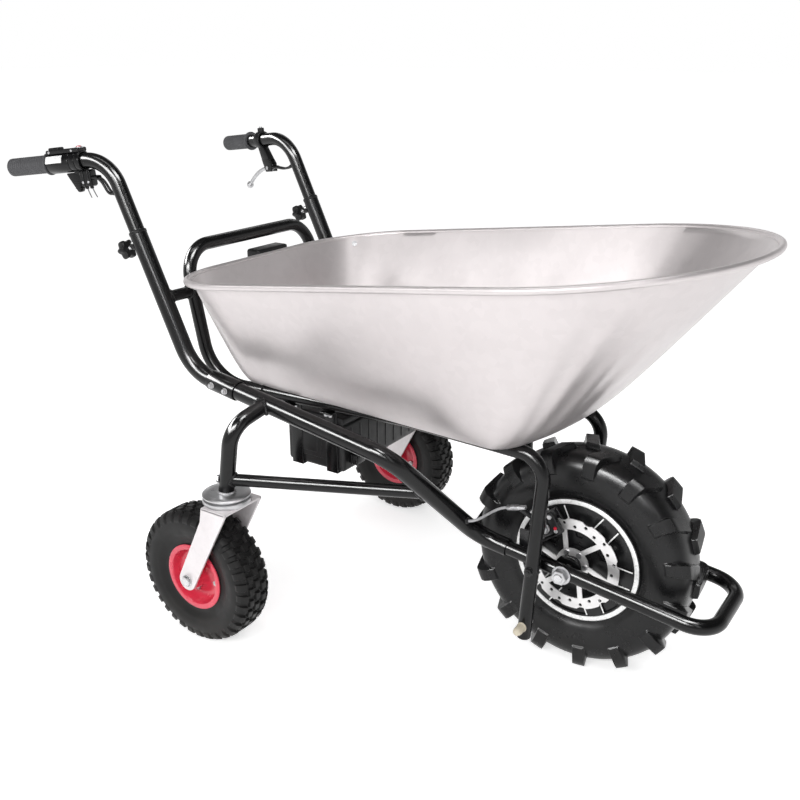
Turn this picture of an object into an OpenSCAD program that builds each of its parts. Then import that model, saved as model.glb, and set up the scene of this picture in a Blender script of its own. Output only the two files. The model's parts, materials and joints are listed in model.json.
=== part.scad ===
// Three-wheeled powered wheelbarrow: a pressed tray on a bent tube frame, driven by a hub
// motor in the front wheel, with two trailing casters and telescopic handles.
// Lengths are in millimetres and angles in degrees. X points forward, Y to the left, Z up.

/* [Overall] */
// Front axle back to the caster pivots
wheelbase = 543; // [520:1:570]
// Distance between the two caster pivots
track = 658; // [640:1:690]
// Front axle back to the ends of the grips
grip_reach = 1080; // [1060:1:1110]
// Distance between the ends of the grips
grip_spread = 590; // [560:1:620]
// Height of the ends of the grips
grip_h = 829; // [815:1:845]

/* [Tubes] */
// Diameter of the main tubes and of the handle posts
main_d = 32; // [31:0.5:36]
// Diameter of the rails, the bows and the rear hoop
rail_d = 25; // [22:0.5:28]
// Diameter of the caster legs
leg_d = 28; // [25:0.5:32]
// Diameter of the front loop
loop_d = 26; // [24:0.5:27]
// Diameter of the tie tubes
tie_d = 22; // [18:0.5:25]
// Diameter of the sliding handle bars
bar_d = 28; // [26:0.5:28.5]
// Wall of the tubes
tube_wall = 2; // [1.5:0.1:3]

/* [Main tubes] */
// Distance between the main tubes, centre to centre
frame_w = 500; // [480:1:520]
// Front axle back to the corner between handle post and main tube
knee_back = 685; // [670:1:700]
// Height of that corner
knee_h = 484; // [474:1:494]
// Slope of the main tubes, falling forward
main_fall = 9.2; // [8.5:0.1:10]
// Front axle back to the bend where the main tubes turn inward
kink_back = 250; // [235:1:265]
// Front axle back to the bend where they meet the loop's line
arm_back = 168; // [160:1:180]
// Front axle back to the front ends of the main tubes
socket_back = 108; // [100:1:116]
// Depth of the loop's ends in the main tubes
socket_depth = 20; // [14:1:24]
// Radius of the main tubes' bends
main_bend = 60; // [50:1:65]

/* [Front loop] */
// Distance between the loop's arms, centre to centre
arm_gap = 176; // [172:1:190]
// Slope of the arms, falling forward
arm_fall = 7.3; // [6:0.1:8.5]
// Front axle forward to the loop's front bar
loop_front = 254; // [240:1:270]
// Radius of the loop's bends
loop_bend = 48; // [40:1:60]

/* [Rails and rear hoop] */
// Front axle back to the corner between rail and bow
bow_back = 31; // [25:1:37]
// Distance between the bows, centre to centre
bow_gap = 240; // [232:1:250]
// Lean of the bows, with the foot to the rear
bow_lean = 4; // [2:0.5:6]
// Height of the bows' feet
bow_foot_h = 76; // [60:1:90]
// Radius of the bows' bends
bow_bend = 45; // [35:1:60]
// Front axle back to the welds between rails and hoop
weld_back = 590; // [570:1:600]
// Front axle back to the place where the rails turn outward
rail_turn_back = 300; // [285:1:315]
// Bend radius of the rails where they turn outward
rail_bend = 400; // [350:10:450]
// Gap between the hoop's sides and the main tubes, centre to centre
hoop_gap = 70; // [64:1:75]
// Front axle back to the foot corner of the hoop
hoop_foot_back = 707; // [700:1:715]
// Front axle back to the top bar of the hoop
hoop_top_back = 758; // [750:1:766]
// Height of the hoop's top bar
hoop_top_h = 692; // [680:1:705]
// Radius of the hoop's lower bends
hoop_foot_bend = 92; // [80:1:100]
// Radius of the hoop's upper bends
hoop_top_bend = 60; // [50:1:70]
// Height of the stubs that join the hoop to the handle posts
stub_h = 613; // [590:1:640]

/* [Handle posts and bars] */
// Lean of the handle posts to the rear
post_lean = 25.2; // [23:0.1:27]
// Length of a post from its corner to its top
post_l = 272; // [265:1:280]
// Radius of the post's bend
post_bend = 90; // [80:1:100]
// Length of the post's foot past its corner
post_foot_l = 80; // [78:1:86]
// Length of the sleeve over the joint of post and main tube
sleeve_l = 64; // [50:1:70]
// Wall of that sleeve
sleeve_wall = 2.5; // [2:0.1:4]
// Length of bar inside the post at rest
bar_insert = 150; // [140:1:155]
// Post top to the bar's corner, along the post
bar_rise = 139; // [132:1:150]
// Radius of the bar's bend
bar_bend = 70; // [60:1:75]
// Length of a grip
grip_l = 95; // [85:1:100]
// Diameter of a grip
grip_d = 33; // [32:0.5:36]

/* [Tray] */
// Length of the tray between rim centres
tray_l = 991; // [970:1:1000]
// Width of the tray between rim centres
tray_w = 604; // [590:1:620]
// Front axle back to the rear rim
tray_back = 735; // [728:1:737]
// Height of the rim at its rear end
rim_h = 647; // [635:1:660]
// Rise of the rim, forward
rim_rise = 6.9; // [6:0.1:8]
// Plan radius of the tray's rear corners
tray_corner = 175; // [150:1:190]
// Diameter of the rolled rim
rim_d = 12; // [10:0.5:14]
// Thickness of the tray's sheet
sheet_t = 2; // [1.5:0.1:3]
// Length of the floor
floor_l = 628; // [610:1:640]
// Width of the floor
floor_w = 364; // [350:1:370]
// Front axle back to the floor's rear edge
floor_back = 650; // [640:1:660]
// Height of the floor's underside over the front tyre, at its rear edge
floor_over = 43; // [40:1:48]
// Slope of the floor, falling forward
floor_fall = 1.95; // [1.5:0.05:2.2]
// Plan radius of the floor's rear corners
floor_corner = 48; // [40:1:60]
// Plan length of the floor's rounded front
floor_nose = 84; // [76:1:94]

/* [Front wheel] */
// Rolling radius of the front tyre, over the lugs
wheel_r = 205; // [200:1:210]
// Radius of the tyre's crown between the lugs
crown_r = 193; // [190:1:196]
// Half width of the tyre's carcass
tyre_half_w = 51; // [48:0.5:53]
// Radius of the tyre's seat on the rim
seat_r = 101; // [99:0.5:103]
// Thickness of the tyre's walls
tyre_wall = 8; // [6:0.5:9]
// Number of lugs on each side
lug_n = 15; // [11:1:17]
// Width of a lug along the tread
lug_w = 27; // [22:1:31]
// Radius of the rim's flanges
flange_r = 117; // [114:0.5:120]
// Radius of the axle at its ends
axle_end_r = 8; // [7:0.5:8.5]
// Radius of the axle inside the hub
axle_r = 12; // [11:0.5:12.5]

/* [Brake] */
// Radius of the brake disc
disc_r = 85; // [82:0.5:88]
// Width of the disc's braking band
band_w = 20; // [16:0.5:22]
// Thickness of the disc
disc_t = 2; // [1.8:0.1:2.4]
// Place of the caliper round the wheel, up from straight ahead
caliper_angle = 127; // [122:1:130]

/* [Casters] */
// Radius of the caster tyres
caster_r = 130; // [125:1:132]
// Half width of the caster tyres
caster_half_w = 38; // [34:0.5:39]
// Radius of the caster rims
caster_rim_r = 64; // [60:0.5:68]
// Trail of the caster wheels behind their pivots
trail = 67; // [60:1:72]
// Radius of the swivel heads
head_r = 43; // [38:0.5:46]
// Height of the swivel heads' upper faces
head_h = 309; // [306:1:312]
// Distance between the straps of a fork
fork_gap = 86; // [82:0.5:90]
// Thickness of the fork's strap
strap_t = 5; // [4:0.5:6]

/* [Battery and controls] */
// Length of the battery case
case_l = 132; // [120:1:140]
// Width of the battery case
case_w = 276; // [250:1:284]
// Height of the battery case
case_h = 108; // [95:1:112]
// Front axle back to the case's front face
case_back = 428; // [420:1:440]
// Tray floor down to the case's lid, at the case's rear
case_drop = 42; // [38:1:50]

/* [Hidden] */
$fn = 64;
// Clearance where one piece sits on another
seat_gap = 0.3;
// Radial clearance of a turning or sliding fit
run_gap = 0.05;
// Weld seam between a bent tube's straight runs and its bends
seam = 0.02;
// How far a cutting shape runs past what it cuts
overrun = 10;
main_r = main_d / 2;
rail_r = rail_d / 2;
leg_r = leg_d / 2;
loop_r = loop_d / 2;
tie_r = tie_d / 2;
bar_r = bar_d / 2;
grip_r = grip_d / 2;
rim_r = rim_d / 2;
floor_h = 2 * wheel_r + floor_over;
post_bore = bar_r + run_gap;
main_bore = loop_r + seat_gap;

function unit(v) = v / norm(v);
function blend(a, b, t) = a + (b - a) * t;
function flip(p, side) = [p.x, p.y * side, p.z];

// Heights of the arms, of the floor's underside and of the rim over a place along X
function arm_z(x) = wheel_r - x * tan(arm_fall);
function floor_z(x) = floor_h - (x + floor_back) * tan(floor_fall);
function rim_z(x) = rim_h + (x + tray_back) * tan(rim_rise);
function main_z(x) = knee_h - (x + knee_back) * tan(main_fall);

// Rails run under the floor from the bows to the hoop
hoop_w = frame_w - 2 * hoop_gap;
function rail_y(x) = blend(bow_gap / 2, hoop_w / 2, max(0, -x - rail_turn_back) / (hoop_foot_back - rail_turn_back));
function rail_z(x) = floor_z(x) - rail_r - seat_gap;
function rail_at(x) = [x, rail_y(x), rail_z(x)];

// Corners of the left side's tubes
knee = [-knee_back, frame_w / 2, knee_h];
kink = [-kink_back, frame_w / 2, main_z(-kink_back)];
arm_start = [-arm_back, arm_gap / 2, arm_z(-arm_back)];
socket = [-socket_back, arm_gap / 2, arm_z(-socket_back)];
main_dir = [cos(main_fall), 0, -sin(main_fall)];
post_dir = [-sin(post_lean), 0, cos(post_lean)];
joint = knee + post_foot_l * main_dir;
post_top = knee + post_l * post_dir;
bow_top = rail_at(-bow_back);
bow_dir = [-sin(bow_lean), 0, -cos(bow_lean)];
bow_foot = bow_top + bow_dir * (bow_top.z - bow_foot_h) / cos(bow_lean);
hoop_foot = rail_at(-hoop_foot_back);
hoop_top = [-hoop_top_back, hoop_w / 2, hoop_top_h];
main_points = [joint, kink, arm_start, socket];
post_points = [post_top, knee, joint];
rail_points = [rail_at(-weld_back), rail_at(-rail_turn_back), bow_top, bow_foot];
loop_back = socket_back + socket_depth;

function bow_at(z) = bow_top + bow_dir * (bow_top.z - z) / cos(bow_lean);
function post_at(z) = knee + post_dir * (z - knee.z) / cos(post_lean);
function hoop_at(z) = blend(hoop_foot, hoop_top, (z - hoop_foot.z) / (hoop_top.z - hoop_foot.z));

// Handle bar: its corner, its grip end and the frame that the controls sit in
bar_corner = post_top + bar_rise * post_dir;
grip_tip = [-grip_reach, grip_spread / 2, grip_h];
grip_cap = 4;
function grip_x(side) = unit(flip(bar_corner - grip_tip, side));
function grip_z(side) = unit([0, 0, 1] - grip_x(side) * grip_x(side).z);
function grip_y(side) = cross(grip_z(side), grip_x(side));
bar_foot = post_top - bar_insert * post_dir;
bar_end = grip_tip + grip_cap * grip_x(1);
bar_points = [bar_foot, bar_corner, bar_end];

// The part's origin lies on the ground, midway between its front and rear ends
grip_over = grip_r * norm([grip_x(1).y, grip_x(1).z]);
axle_x = (grip_reach + grip_over - loop_front - loop_r) / 2;

// Puts what is drawn from the front axle's foot into the part's frame
module from_axle() {
    translate([axle_x, 0, 0]) children();
}

// Draws the left side's shape on the left (1) or mirrored on the right (-1)
module on_side(side) {
    mirror([0, side > 0 ? 0 : 1, 0]) children();
}

// Turns the Z axis to run from one point to another
module along(a, b) {
    d = b - a;
    translate(a) rotate([0, acos(d.z / norm(d)), atan2(d.y, d.x)]) children();
}

module rod(a, b, r) {
    along(a, b) cylinder(h = norm(b - a), r = r);
}

// Cylinder along Y between two places, at a place in X and Z
module cross_rod(x, z, y0, y1, r) {
    translate([x, y0, z]) rotate([-90, 0, 0]) cylinder(h = y1 - y0, r = r);
}

// Round shape about the Y axis from a profile of radius and place along Y
module spun(points) {
    rotate([-90, 0, 0]) rotate_extrude() polygon(points);
}

// Ring about the Y axis
module ring(r0, r1, y0, y1) {
    spun([[r0, y0], [r1, y0], [r1, y1], [r0, y1]]);
}

// Puts children in a frame given by its three directions and its origin
module in_frame(ex, ey, ez, p) {
    multmatrix([[ex.x, ey.x, ez.x, p.x], [ex.y, ey.y, ez.y, p.y], [ex.z, ey.z, ez.z, p.z]]) children();
}

// Bent tubes, drawn run by run in a frame whose Z is the run's direction
function corner_angle(a, b, c) = acos(unit(a - b) * unit(c - b));
function trim(p, bends, i) = i == 0 || i == len(p) - 1 ? 0
    : bends[i - 1] / tan(corner_angle(p[i - 1], p[i], p[i + 1]) / 2);
function first_frame(d) = let (a = atan2(d.y, d.x), ey = [-sin(a), cos(a), 0]) [cross(ey, d), ey, d];
function roll(f, d) = atan2(d * f[1], d * f[0]);
function turned(f, d) = let (a = roll(f, d), ey = f[1] * cos(a) - f[0] * sin(a)) [cross(ey, d), ey, d];

module straight(h, r, bore) {
    difference() {
        cylinder(h = h, r = r);
        if (bore > 0) translate([0, 0, -overrun]) cylinder(h = h + 2 * overrun, r = bore);
    }
}

// Bend from Z towards X
module elbow(angle, bend, r, bore) {
    in_frame([-1, 0, 0], [0, 0, 1], [0, 1, 0], [bend, 0, 0]) rotate_extrude(angle = angle)
        translate([bend, 0]) difference() {
            circle(r = r);
            if (bore > 0) circle(r = bore);
        }
}

module runs(p, bends, r, bore, f, i) {
    h = norm(p[i + 1] - p[i]) - trim(p, bends, i) - trim(p, bends, i + 1);
    low = i == 0 ? 0 : seam;
    high = i == len(p) - 2 ? h : h - seam;
    translate([0, 0, low]) straight(high - low, r, bore);
    if (i < len(p) - 2) {
        d = unit(p[i + 2] - p[i + 1]);
        angle = acos(f[2] * d);
        translate([0, 0, h]) rotate([0, 0, roll(f, d)]) {
            elbow(angle, bends[i], r, bore);
            translate([bends[i], 0, 0]) rotate([0, angle, 0]) translate([-bends[i], 0, 0])
                runs(p, bends, r, bore, turned(f, d), i + 1);
        }
    }
}

// Tube through the points, with a bend radius at each inner point; solid where the bore is 0
module pipe(points, bends, r, bore) {
    f = first_frame(unit(points[1] - points[0]));
    along(points[0], points[1]) runs(points, bends, r, bore, f, 0);
}

// Hexagon bolt from its head to its nut, with the shank between
module bolt(a, b, r, head) {
    along(a, b) {
        translate([0, 0, -head]) cylinder(h = head, r = 2 * r, $fn = 6);
        cylinder(h = norm(b - a), r = r);
        translate([0, 0, norm(b - a)]) cylinder(h = head, r = 2 * r, $fn = 6);
    }
}

// Smooth run of points between two ends, with the way each end is left
cord_n = 10;
function curve(a, u, b, v) = [
    for (i = [0 : cord_n]) let (t = i / cord_n, s = 1 - t)
        s * s * s * a + 3 * s * s * t * (a + u) + 3 * s * t * t * (b + v) + t * t * t * b
];

// Round cord swept through points as one closed skin
cord_sides = 8;
function cord_dir(p, i) = unit(p[min(i + 1, len(p) - 1)] - p[max(i - 1, 0)]);
function cord_ring(p, i, r) = let (
    d = cord_dir(p, i), u = unit(cross(d, [0, 1, 0])), v = cross(d, u), step = 360 / cord_sides
) [for (k = [0 : cord_sides - 1]) p[i] + r * (u * cos(k * step) + v * sin(k * step))];
module cord(p, r) {
    n = len(p);
    s = cord_sides;
    polyhedron(
        points = [for (i = [0 : n - 1]) each cord_ring(p, i, r)],
        faces = concat(
            [for (i = [0 : n - 2], k = [0 : s - 1], h = [0, 1]) h == 0
                ? [i * s + k, i * s + (k + 1) % s, (i + 1) * s + k]
                : [i * s + (k + 1) % s, (i + 1) * s + (k + 1) % s, (i + 1) * s + k]],
            [[for (k = [s - 1 : -1 : 0]) k]],
            [[for (k = [0 : s - 1]) (n - 1) * s + k]]
        )
    );
}

// Tray
nose_n = 26;
side_n = 6;
corner_n = 8;
// Steps up the wall, crowded near the floor's edge, as shares of its height
wall_shares = [0, 0.02, 0.05, 0.1, 0.17, 0.27, 0.42, 0.62, 0.82, 1];
// How far the floor's edge is drawn in and how fast that fades up the wall
edge_share = 0.12;
edge_fade_share = 0.1;
// Overhang of the rolled rim past the wall's top
rim_over = rim_r + sheet_t;
floor_centre = floor_l - floor_back - floor_nose;
tray_centre = tray_l - tray_back - tray_w / 2;

function arc_points(c, rx, ry, a0, a1, n) =
    [for (i = [0 : n]) let (a = blend(a0, a1, i / n)) [c.x + rx * cos(a), c.y + ry * sin(a)]];
function side_points(x0, x1, y) = [for (i = [1 : side_n - 1]) [blend(x0, x1, i / side_n), y]];
function tray_outline(rear, centre, half, nose, corner) = concat(
    arc_points([centre, 0], nose, half, -90, 90, nose_n),
    side_points(centre, rear + corner, half),
    arc_points([rear + corner, half - corner], corner, corner, 90, 180, corner_n),
    arc_points([rear + corner, corner - half], corner, corner, 180, 270, corner_n),
    side_points(rear + corner, centre, -half)
);
function rim_outline(d) =
    tray_outline(-tray_back - d, tray_centre, tray_w / 2 + d, tray_w / 2 + d, tray_corner + d);
function floor_outline(d) =
    tray_outline(-floor_back - d, floor_centre, floor_w / 2 + d, floor_nose + d, floor_corner + d);
function wall_out(t) = t - edge_share * exp(-t / edge_fade_share);
function wall_ring(t, d, lift) = let (low = floor_outline(d), high = rim_outline(d - rim_over)) [
    for (i = [0 : len(low) - 1]) let (
        xy = blend(low[i], high[i], wall_out(t)),
        z0 = floor_z(xy.x) + lift
    ) [xy.x, xy.y, blend(z0, rim_z(high[i].x), t)]
];
function bead_ring(d, lift) = [for (p = rim_outline(d)) [p.x, p.y, rim_z(p.x) + lift]];
bead_angles = [-60, 0, 60, 120, 180];
tray_rings = concat(
    [for (t = wall_shares) wall_ring(t, 0, 0)],
    [for (a = bead_angles) bead_ring(rim_r * cos(a), rim_r * sin(a))],
    [for (i = [len(wall_shares) - 1 : -1 : 0]) wall_ring(wall_shares[i], -sheet_t, sheet_t)]
);
bolt_r = 4;
bolt_head = 5;
bolt_hole = bolt_r + run_gap;
cross_bar_w = 40;
cross_bar_t = 5;
cross_bars_x = [-572, -130];
tray_bolt_y = 70;

module tray_shell() {
    n = len(tray_rings[0]);
    m = len(tray_rings);
    // The floor's faces fan out from the middle of its nose
    tip = nose_n / 2;
    top = (m - 1) * n;
    polyhedron(
        points = [for (r = tray_rings) each r],
        faces = concat(
            [for (j = [0 : m - 2], i = [0 : n - 1], h = [0, 1]) h == 0
                ? [j * n + i, (j + 1) * n + i, j * n + (i + 1) % n]
                : [j * n + (i + 1) % n, (j + 1) * n + i, (j + 1) * n + (i + 1) % n]],
            [for (i = [1 : n - 2]) [tip, (tip + i) % n, (tip + i + 1) % n]],
            [for (i = [1 : n - 2]) [top + tip, top + (tip + i + 1) % n, top + (tip + i) % n]]
        )
    );
}

function tray_bolt_at(x, side) = [x, side * tray_bolt_y, floor_z(x)];

module tray() {
    color("silver") from_axle() tray_shell();
}

// Flat bars between the rails that carry the tray's floor
module cross_bar(x) {
    half = rail_y(x) - rail_r / 2;
    difference() {
        translate([x, 0, floor_z(x) - seat_gap]) rotate([0, floor_fall, 0])
            translate([-cross_bar_w / 2, -half, -cross_bar_t]) cube([cross_bar_w, 2 * half, cross_bar_t]);
        for (side = [-1, 1]) {
            rod(flip(rail_at(x - cross_bar_w), side), flip(rail_at(x + cross_bar_w), side), rail_r);
            p = tray_bolt_at(x, side);
            rod(p - [0, 0, overrun], p, bolt_hole);
        }
    }
}

module cross_bars() {
    color("black") from_axle() for (x = cross_bars_x) cross_bar(x);
}

// Bolts of the frame
arm_bolt = bow_at(arm_z(-bow_back - bow_bend / 2));
foot_bolt = bow_at(bow_foot_h + rail_d);
foot_bolt_out = 24;
sleeve_bolt_step = sleeve_l / 4;
tie_h = 333;
leg_run = 20;
leg_bend = 48;
leg_foot = [-wheelbase, track / 2, head_h];
leg_top = [-wheelbase + leg_run, track / 2, main_z(-wheelbase) - leg_d];
leg_dir = unit(leg_top - leg_foot);
leg_end_x = leg_top.x + leg_r;
leg_points = [leg_foot - overrun * leg_dir, leg_top, [leg_end_x, frame_w / 2, main_z(leg_end_x)]];
tie_rear = blend(leg_foot, leg_top, (tie_h - leg_foot.z) / (leg_top.z - leg_foot.z));
tie_front = blend(kink, arm_start, (kink.z - tie_h) / (kink.z - arm_start.z));

// Holes or shanks of the bolts on the left side, by name
module arm_bolt_rod(r) {
    cross_rod(arm_bolt.x, arm_bolt.z, arm_gap / 2 - loop_r - overrun, bow_gap / 2 + rail_r + overrun, r);
}
module foot_bolt_rod(r) {
    cross_rod(foot_bolt.x, foot_bolt.z, bow_gap / 2 - rail_r - overrun, bow_gap / 2 + rail_r + overrun, r);
}
module sleeve_bolt_rods(r) {
    for (s = [-1, 1]) {
        p = joint + s * sleeve_bolt_step * main_dir;
        cross_rod(p.x, p.z, p.y - main_r - overrun, p.y + main_r + overrun, r);
    }
}

module frame_bolts() {
    color("gainsboro") from_axle() {
        for (side = [-1, 1]) on_side(side) {
            // Bow to arm, with a spacer between the two tubes
            translate([arm_bolt.x, 0, arm_bolt.z]) {
                bolt([0, bow_gap / 2 + rail_r, 0], [0, arm_gap / 2 - loop_r, 0], bolt_r, bolt_head);
                ring(0, 2 * bolt_r, arm_gap / 2 + loop_r, bow_gap / 2 - rail_r);
            }
            // Foot of the bow, with a long cap nut outside
            translate([foot_bolt.x, bow_gap / 2, foot_bolt.z]) {
                bolt([0, -rail_r, 0], [0, rail_r, 0], bolt_r, bolt_head);
                cross_rod(0, 0, rail_r, rail_r + foot_bolt_out, 2 * bolt_r);
            }
            // Sleeve over post and main tube
            for (s = [-1, 1]) {
                p = joint + s * sleeve_bolt_step * main_dir;
                out = [0, main_r + sleeve_wall + run_gap, 0];
                bolt(p + out, p - out, bolt_r, bolt_head);
            }
        }
        for (x = cross_bars_x, side = [-1, 1]) {
            p = tray_bolt_at(x, side);
            // Stud welded under the floor, with its nut below the bar
            low = p - [0, 0, cross_bar_t + 3 * seat_gap];
            rod(low, p - [0, 0, seat_gap], bolt_r);
            translate(low - [0, 0, bolt_head]) cylinder(h = bolt_head, r = 2 * bolt_r, $fn = 6);
        }
    }
}

// Frame tubes
module main_tube() {
    difference() {
        pipe(main_points, [main_bend, main_bend], main_r, main_bore);
        sleeve_bolt_rods(bolt_hole);
    }
}

module right_main_tube() {
    color("black") from_axle() on_side(-1) main_tube();
}

module left_main_tube() {
    color("black") from_axle() on_side(1) main_tube();
}

module front_loop() {
    end = [-loop_back, arm_gap / 2, arm_z(-loop_back)];
    nose = [loop_front, arm_gap / 2, arm_z(loop_front)];
    points = [end, nose, flip(nose, -1), flip(end, -1)];
    color("black") from_axle() difference() {
        pipe(points, [loop_bend, loop_bend], loop_r, loop_r - tube_wall);
        cross_rod(0, wheel_r, -arm_gap, arm_gap, axle_end_r + run_gap);
        for (side = [-1, 1]) on_side(side) arm_bolt_rod(bolt_hole);
    }
}

module rail() {
    difference() {
        pipe(rail_points, [rail_bend, bow_bend], rail_r, rail_r - tube_wall);
        arm_bolt_rod(bolt_hole);
        foot_bolt_rod(bolt_hole);
    }
}

module right_rail() {
    color("black") from_axle() on_side(-1) rail();
}

module left_rail() {
    color("black") from_axle() on_side(1) rail();
}

module rear_hoop() {
    half = [rail_at(-weld_back), hoop_foot, hoop_top];
    half_bends = [hoop_foot_bend, hoop_top_bend];
    points = concat(half, [for (i = [2 : -1 : 0]) flip(half[i], -1)]);
    color("black") from_axle()
        pipe(points, concat(half_bends, [half_bends[1], half_bends[0]]), rail_r, rail_r - tube_wall);
}

module hoop_stubs() {
    a = hoop_at(stub_h);
    b = post_at(stub_h);
    color("black") from_axle() for (side = [-1, 1]) on_side(side) difference() {
        rod(a, b, tie_r);
        rod(a, b, tie_r - tube_wall);
        rod(hoop_foot, hoop_top, rail_r);
        rod(knee, post_top, main_r);
    }
}

module caster_legs() {
    color("black") from_axle() for (side = [-1, 1]) on_side(side) difference() {
        pipe(leg_points, [leg_bend], leg_r, leg_r - tube_wall);
        rod(knee, kink, main_r);
        translate(leg_foot - [leg_d, leg_d, 2 * leg_d]) cube(2 * leg_d);
    }
}

module tie_tubes() {
    color("black") from_axle() for (side = [-1, 1]) on_side(side) difference() {
        rod(tie_rear, tie_front, tie_r);
        rod(tie_rear, tie_front, tie_r - tube_wall);
        rod(leg_foot, leg_top, leg_r);
        rod(kink, arm_start, main_r);
    }
}

// Handle posts with the threaded bosses for the clamp knobs
knob_drop = 20;
knob_stud_r = 4;
knob_boss_r = 8;
knob_boss_h = 10;
knob_dir = [-cos(post_lean), 0, -sin(post_lean)];
knob_seat = post_top - knob_drop * post_dir;

module handle_post() {
    difference() {
        union() {
            pipe(post_points, [post_bend], main_r, post_bore);
            difference() {
                rod(knob_seat, knob_seat + knob_dir * (main_r + knob_boss_h), knob_boss_r);
                rod(knee, post_top, (main_r + post_bore) / 2);
            }
        }
        rod(knob_seat, knob_seat + knob_dir * (main_r + knob_boss_h + overrun), knob_stud_r + run_gap);
        sleeve_bolt_rods(bolt_hole);
    }
}

module right_handle_post() {
    color("black") from_axle() on_side(-1) handle_post();
}

module left_handle_post() {
    color("black") from_axle() on_side(1) handle_post();
}

module joint_sleeves() {
    a = joint - main_dir * sleeve_l / 2;
    b = joint + main_dir * sleeve_l / 2;
    color("black") from_axle() for (side = [-1, 1]) on_side(side) difference() {
        rod(a, b, main_r + sleeve_wall + run_gap);
        rod(a - main_dir * overrun, b + main_dir * overrun, main_r + run_gap);
        sleeve_bolt_rods(bolt_hole);
    }
}

// Front wheel with its hub motor
axle_nut_r = 14;
axle_nut_h = 11;
axle_washer_r = 17;
axle_washer_t = 2;
plate_t = 5;
plate_r = 24;
plate_in = arm_gap / 2 - loop_r - plate_t;
axle_end = arm_gap / 2 + loop_r + axle_washer_t + axle_nut_h + axle_washer_t;
rim_half_w = 37.8;
flange_t = 4;
barrel_t = 11;
magnet_t = 5;
air_gap = 0.8;
stator_half_w = 22;
cover_t = 5;
bearing_r = 20;
bearing_w = 10;
bearing_boss = 8;
hub_face = rim_half_w + flange_t - seat_gap;
barrel_r = seat_r - seat_gap;
drum_r = barrel_r - barrel_t;
magnet_r = drum_r - seat_gap;

// Outer and inner outlines of the tyre's half section, as shares of its depth and half width
tyre_outer_shares = [
    [0, 0.58], [0, 0.73], [0.17, 0.735], [0.32, 0.87], [0.52, 0.98],
    [0.72, 1], [0.88, 0.94], [0.965, 0.74], [1, 0.42]
];
tyre_inner_shares = [[1, 0.36], [0.9, 0.72], [0.7, 0.98], [0.5, 0.96], [0.32, 0.78], [0.1, 0.58]];
function tyre_point(s, wall) = [seat_r + s.x * (crown_r - wall - seat_r), s.y * (tyre_half_w - wall)];
function tyre_half(shares, wall) = [for (s = shares) tyre_point(s, wall)];
tyre_outer = tyre_half(tyre_outer_shares, 0);
tyre_inner = tyre_half(tyre_inner_shares, tyre_wall);
function mirrored(points) = [for (i = [len(points) - 1 : -1 : 0]) [points[i].x, -points[i].y]];

stator_slots = 12;
stator_slot_share = 0.6;
stator_slot_r = 8;

// Brake disc, its bolts and its caliper, measured out from the wheel's middle plane
disc_out = 12.5;
disc_face = hub_face + disc_out;
disc_bore = 16;
disc_hub_r = 30;
disc_arm_n = 6;
disc_arm_w = 9;
disc_arm_skew = 22;
disc_hole_n = 24;
disc_hole_r = 3;
disc_hole_in_share = 0.68;
disc_hole_out_share = 0.4;
disc_wave_r = 12;
disc_wave_share = 0.72;
disc_bolt_n = 6;
disc_bolt_r = 2.5;
disc_bolt_pitch_r = 23;
disc_bolt_depth = 8;
pad_t = 4;
caliper_wall = 7;
bracket_t = 3.5;
caliper_in_share = 0.68;
caliper_out_share = 1.18;
arm_pivot_share = 0.93;
pad_y0 = disc_face - pad_t;
pad_y1 = disc_face + disc_t + pad_t;
caliper_in = disc_r * caliper_in_share;
caliper_out = disc_r * caliper_out_share;
caliper_w = 56;
caliper_y0 = pad_y0 - caliper_wall;
caliper_y1 = plate_in + plate_t - bracket_t;
pad_w = 30;
bracket_back = 94;
bracket_w = 32;
bracket_h = 50;
arm_pivot_r = disc_r * arm_pivot_share;
arm_pin_r = 5;
arm_pin_l = 9;
arm_w = 10;
arm_t = 5;
arm_l = 42;
arm_turn = 22;
stop_r = 4.5;
// Cable stop beside the caliper, from the wheel's middle and the caliper's outer face
stop_root = [-66, caliper_y1 - stop_r, wheel_r] + [0, 0, 70];
stop_mid = [-96, caliper_y1, wheel_r] + [0, 9, 93];
barrel_stop_r = 5.5;
barrel_rear = [-116, caliper_y1, wheel_r] + [0, 10, 87];
barrel_front = [-82, caliper_y1, wheel_r] + [0, 9, 96];
cable_r = 2.5;
cable_from_share = 0.79;
diag_dir = unit(arm_start - kink);
cable_out = unit([1, 0, 0] - diag_dir * diag_dir.x);
cable_start = blend(kink, arm_start, cable_from_share) + cable_out * main_r;
barrel_dir = unit(barrel_front - barrel_rear);
cable_lead = 30;
brake_route = curve(
    cable_start + seat_gap * cable_out, cable_lead * cable_out,
    barrel_rear - seat_gap * barrel_dir, -cable_lead * barrel_dir
);

// Battery case, its straps, the controller and the key box
case_low = floor_z(-case_back - case_l) - case_drop - case_h;
case_wall = 4;
lid_h = 14;
pack_gap = 2;
cradle_t = 3;
strap_w = 26;
strap_inset = 12;
controller_back = 300;
controller_l = 100;
controller_w = 140;
controller_h = 42;
controller_fins = 6;
fin_h = 8;
fin_t = 3;
key_y = 8;
key_w = 90;
key_h = 56;
key_t = 34;
key_over_rim = 11;
key_top = rim_h + key_over_rim;
key_rib_in = 22;
key_rib_h = 26;
key_rib_top = key_top - key_h + key_rib_h;

// Caster details
head_t = 6;
crown_h = 12;
web_h = head_h - head_t - crown_h;
stem_r = 10;
stem_nut_h = 10;
stem_spigot_l = 30;
strap_back = 18;
strap_front = 38;
strap_knee_back = 23;
strap_low_w = 38;
strap_knee_drop = 29;
strap_knee_h = web_h - strap_knee_drop;
caster_axle_r = 6;
caster_bearing_r = 16;
caster_skin = 4;
caster_hub_l = fork_gap - 2 * seat_gap;
caster_lip = 5;
caster_seat_r = caster_rim_r - caster_lip;

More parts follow.
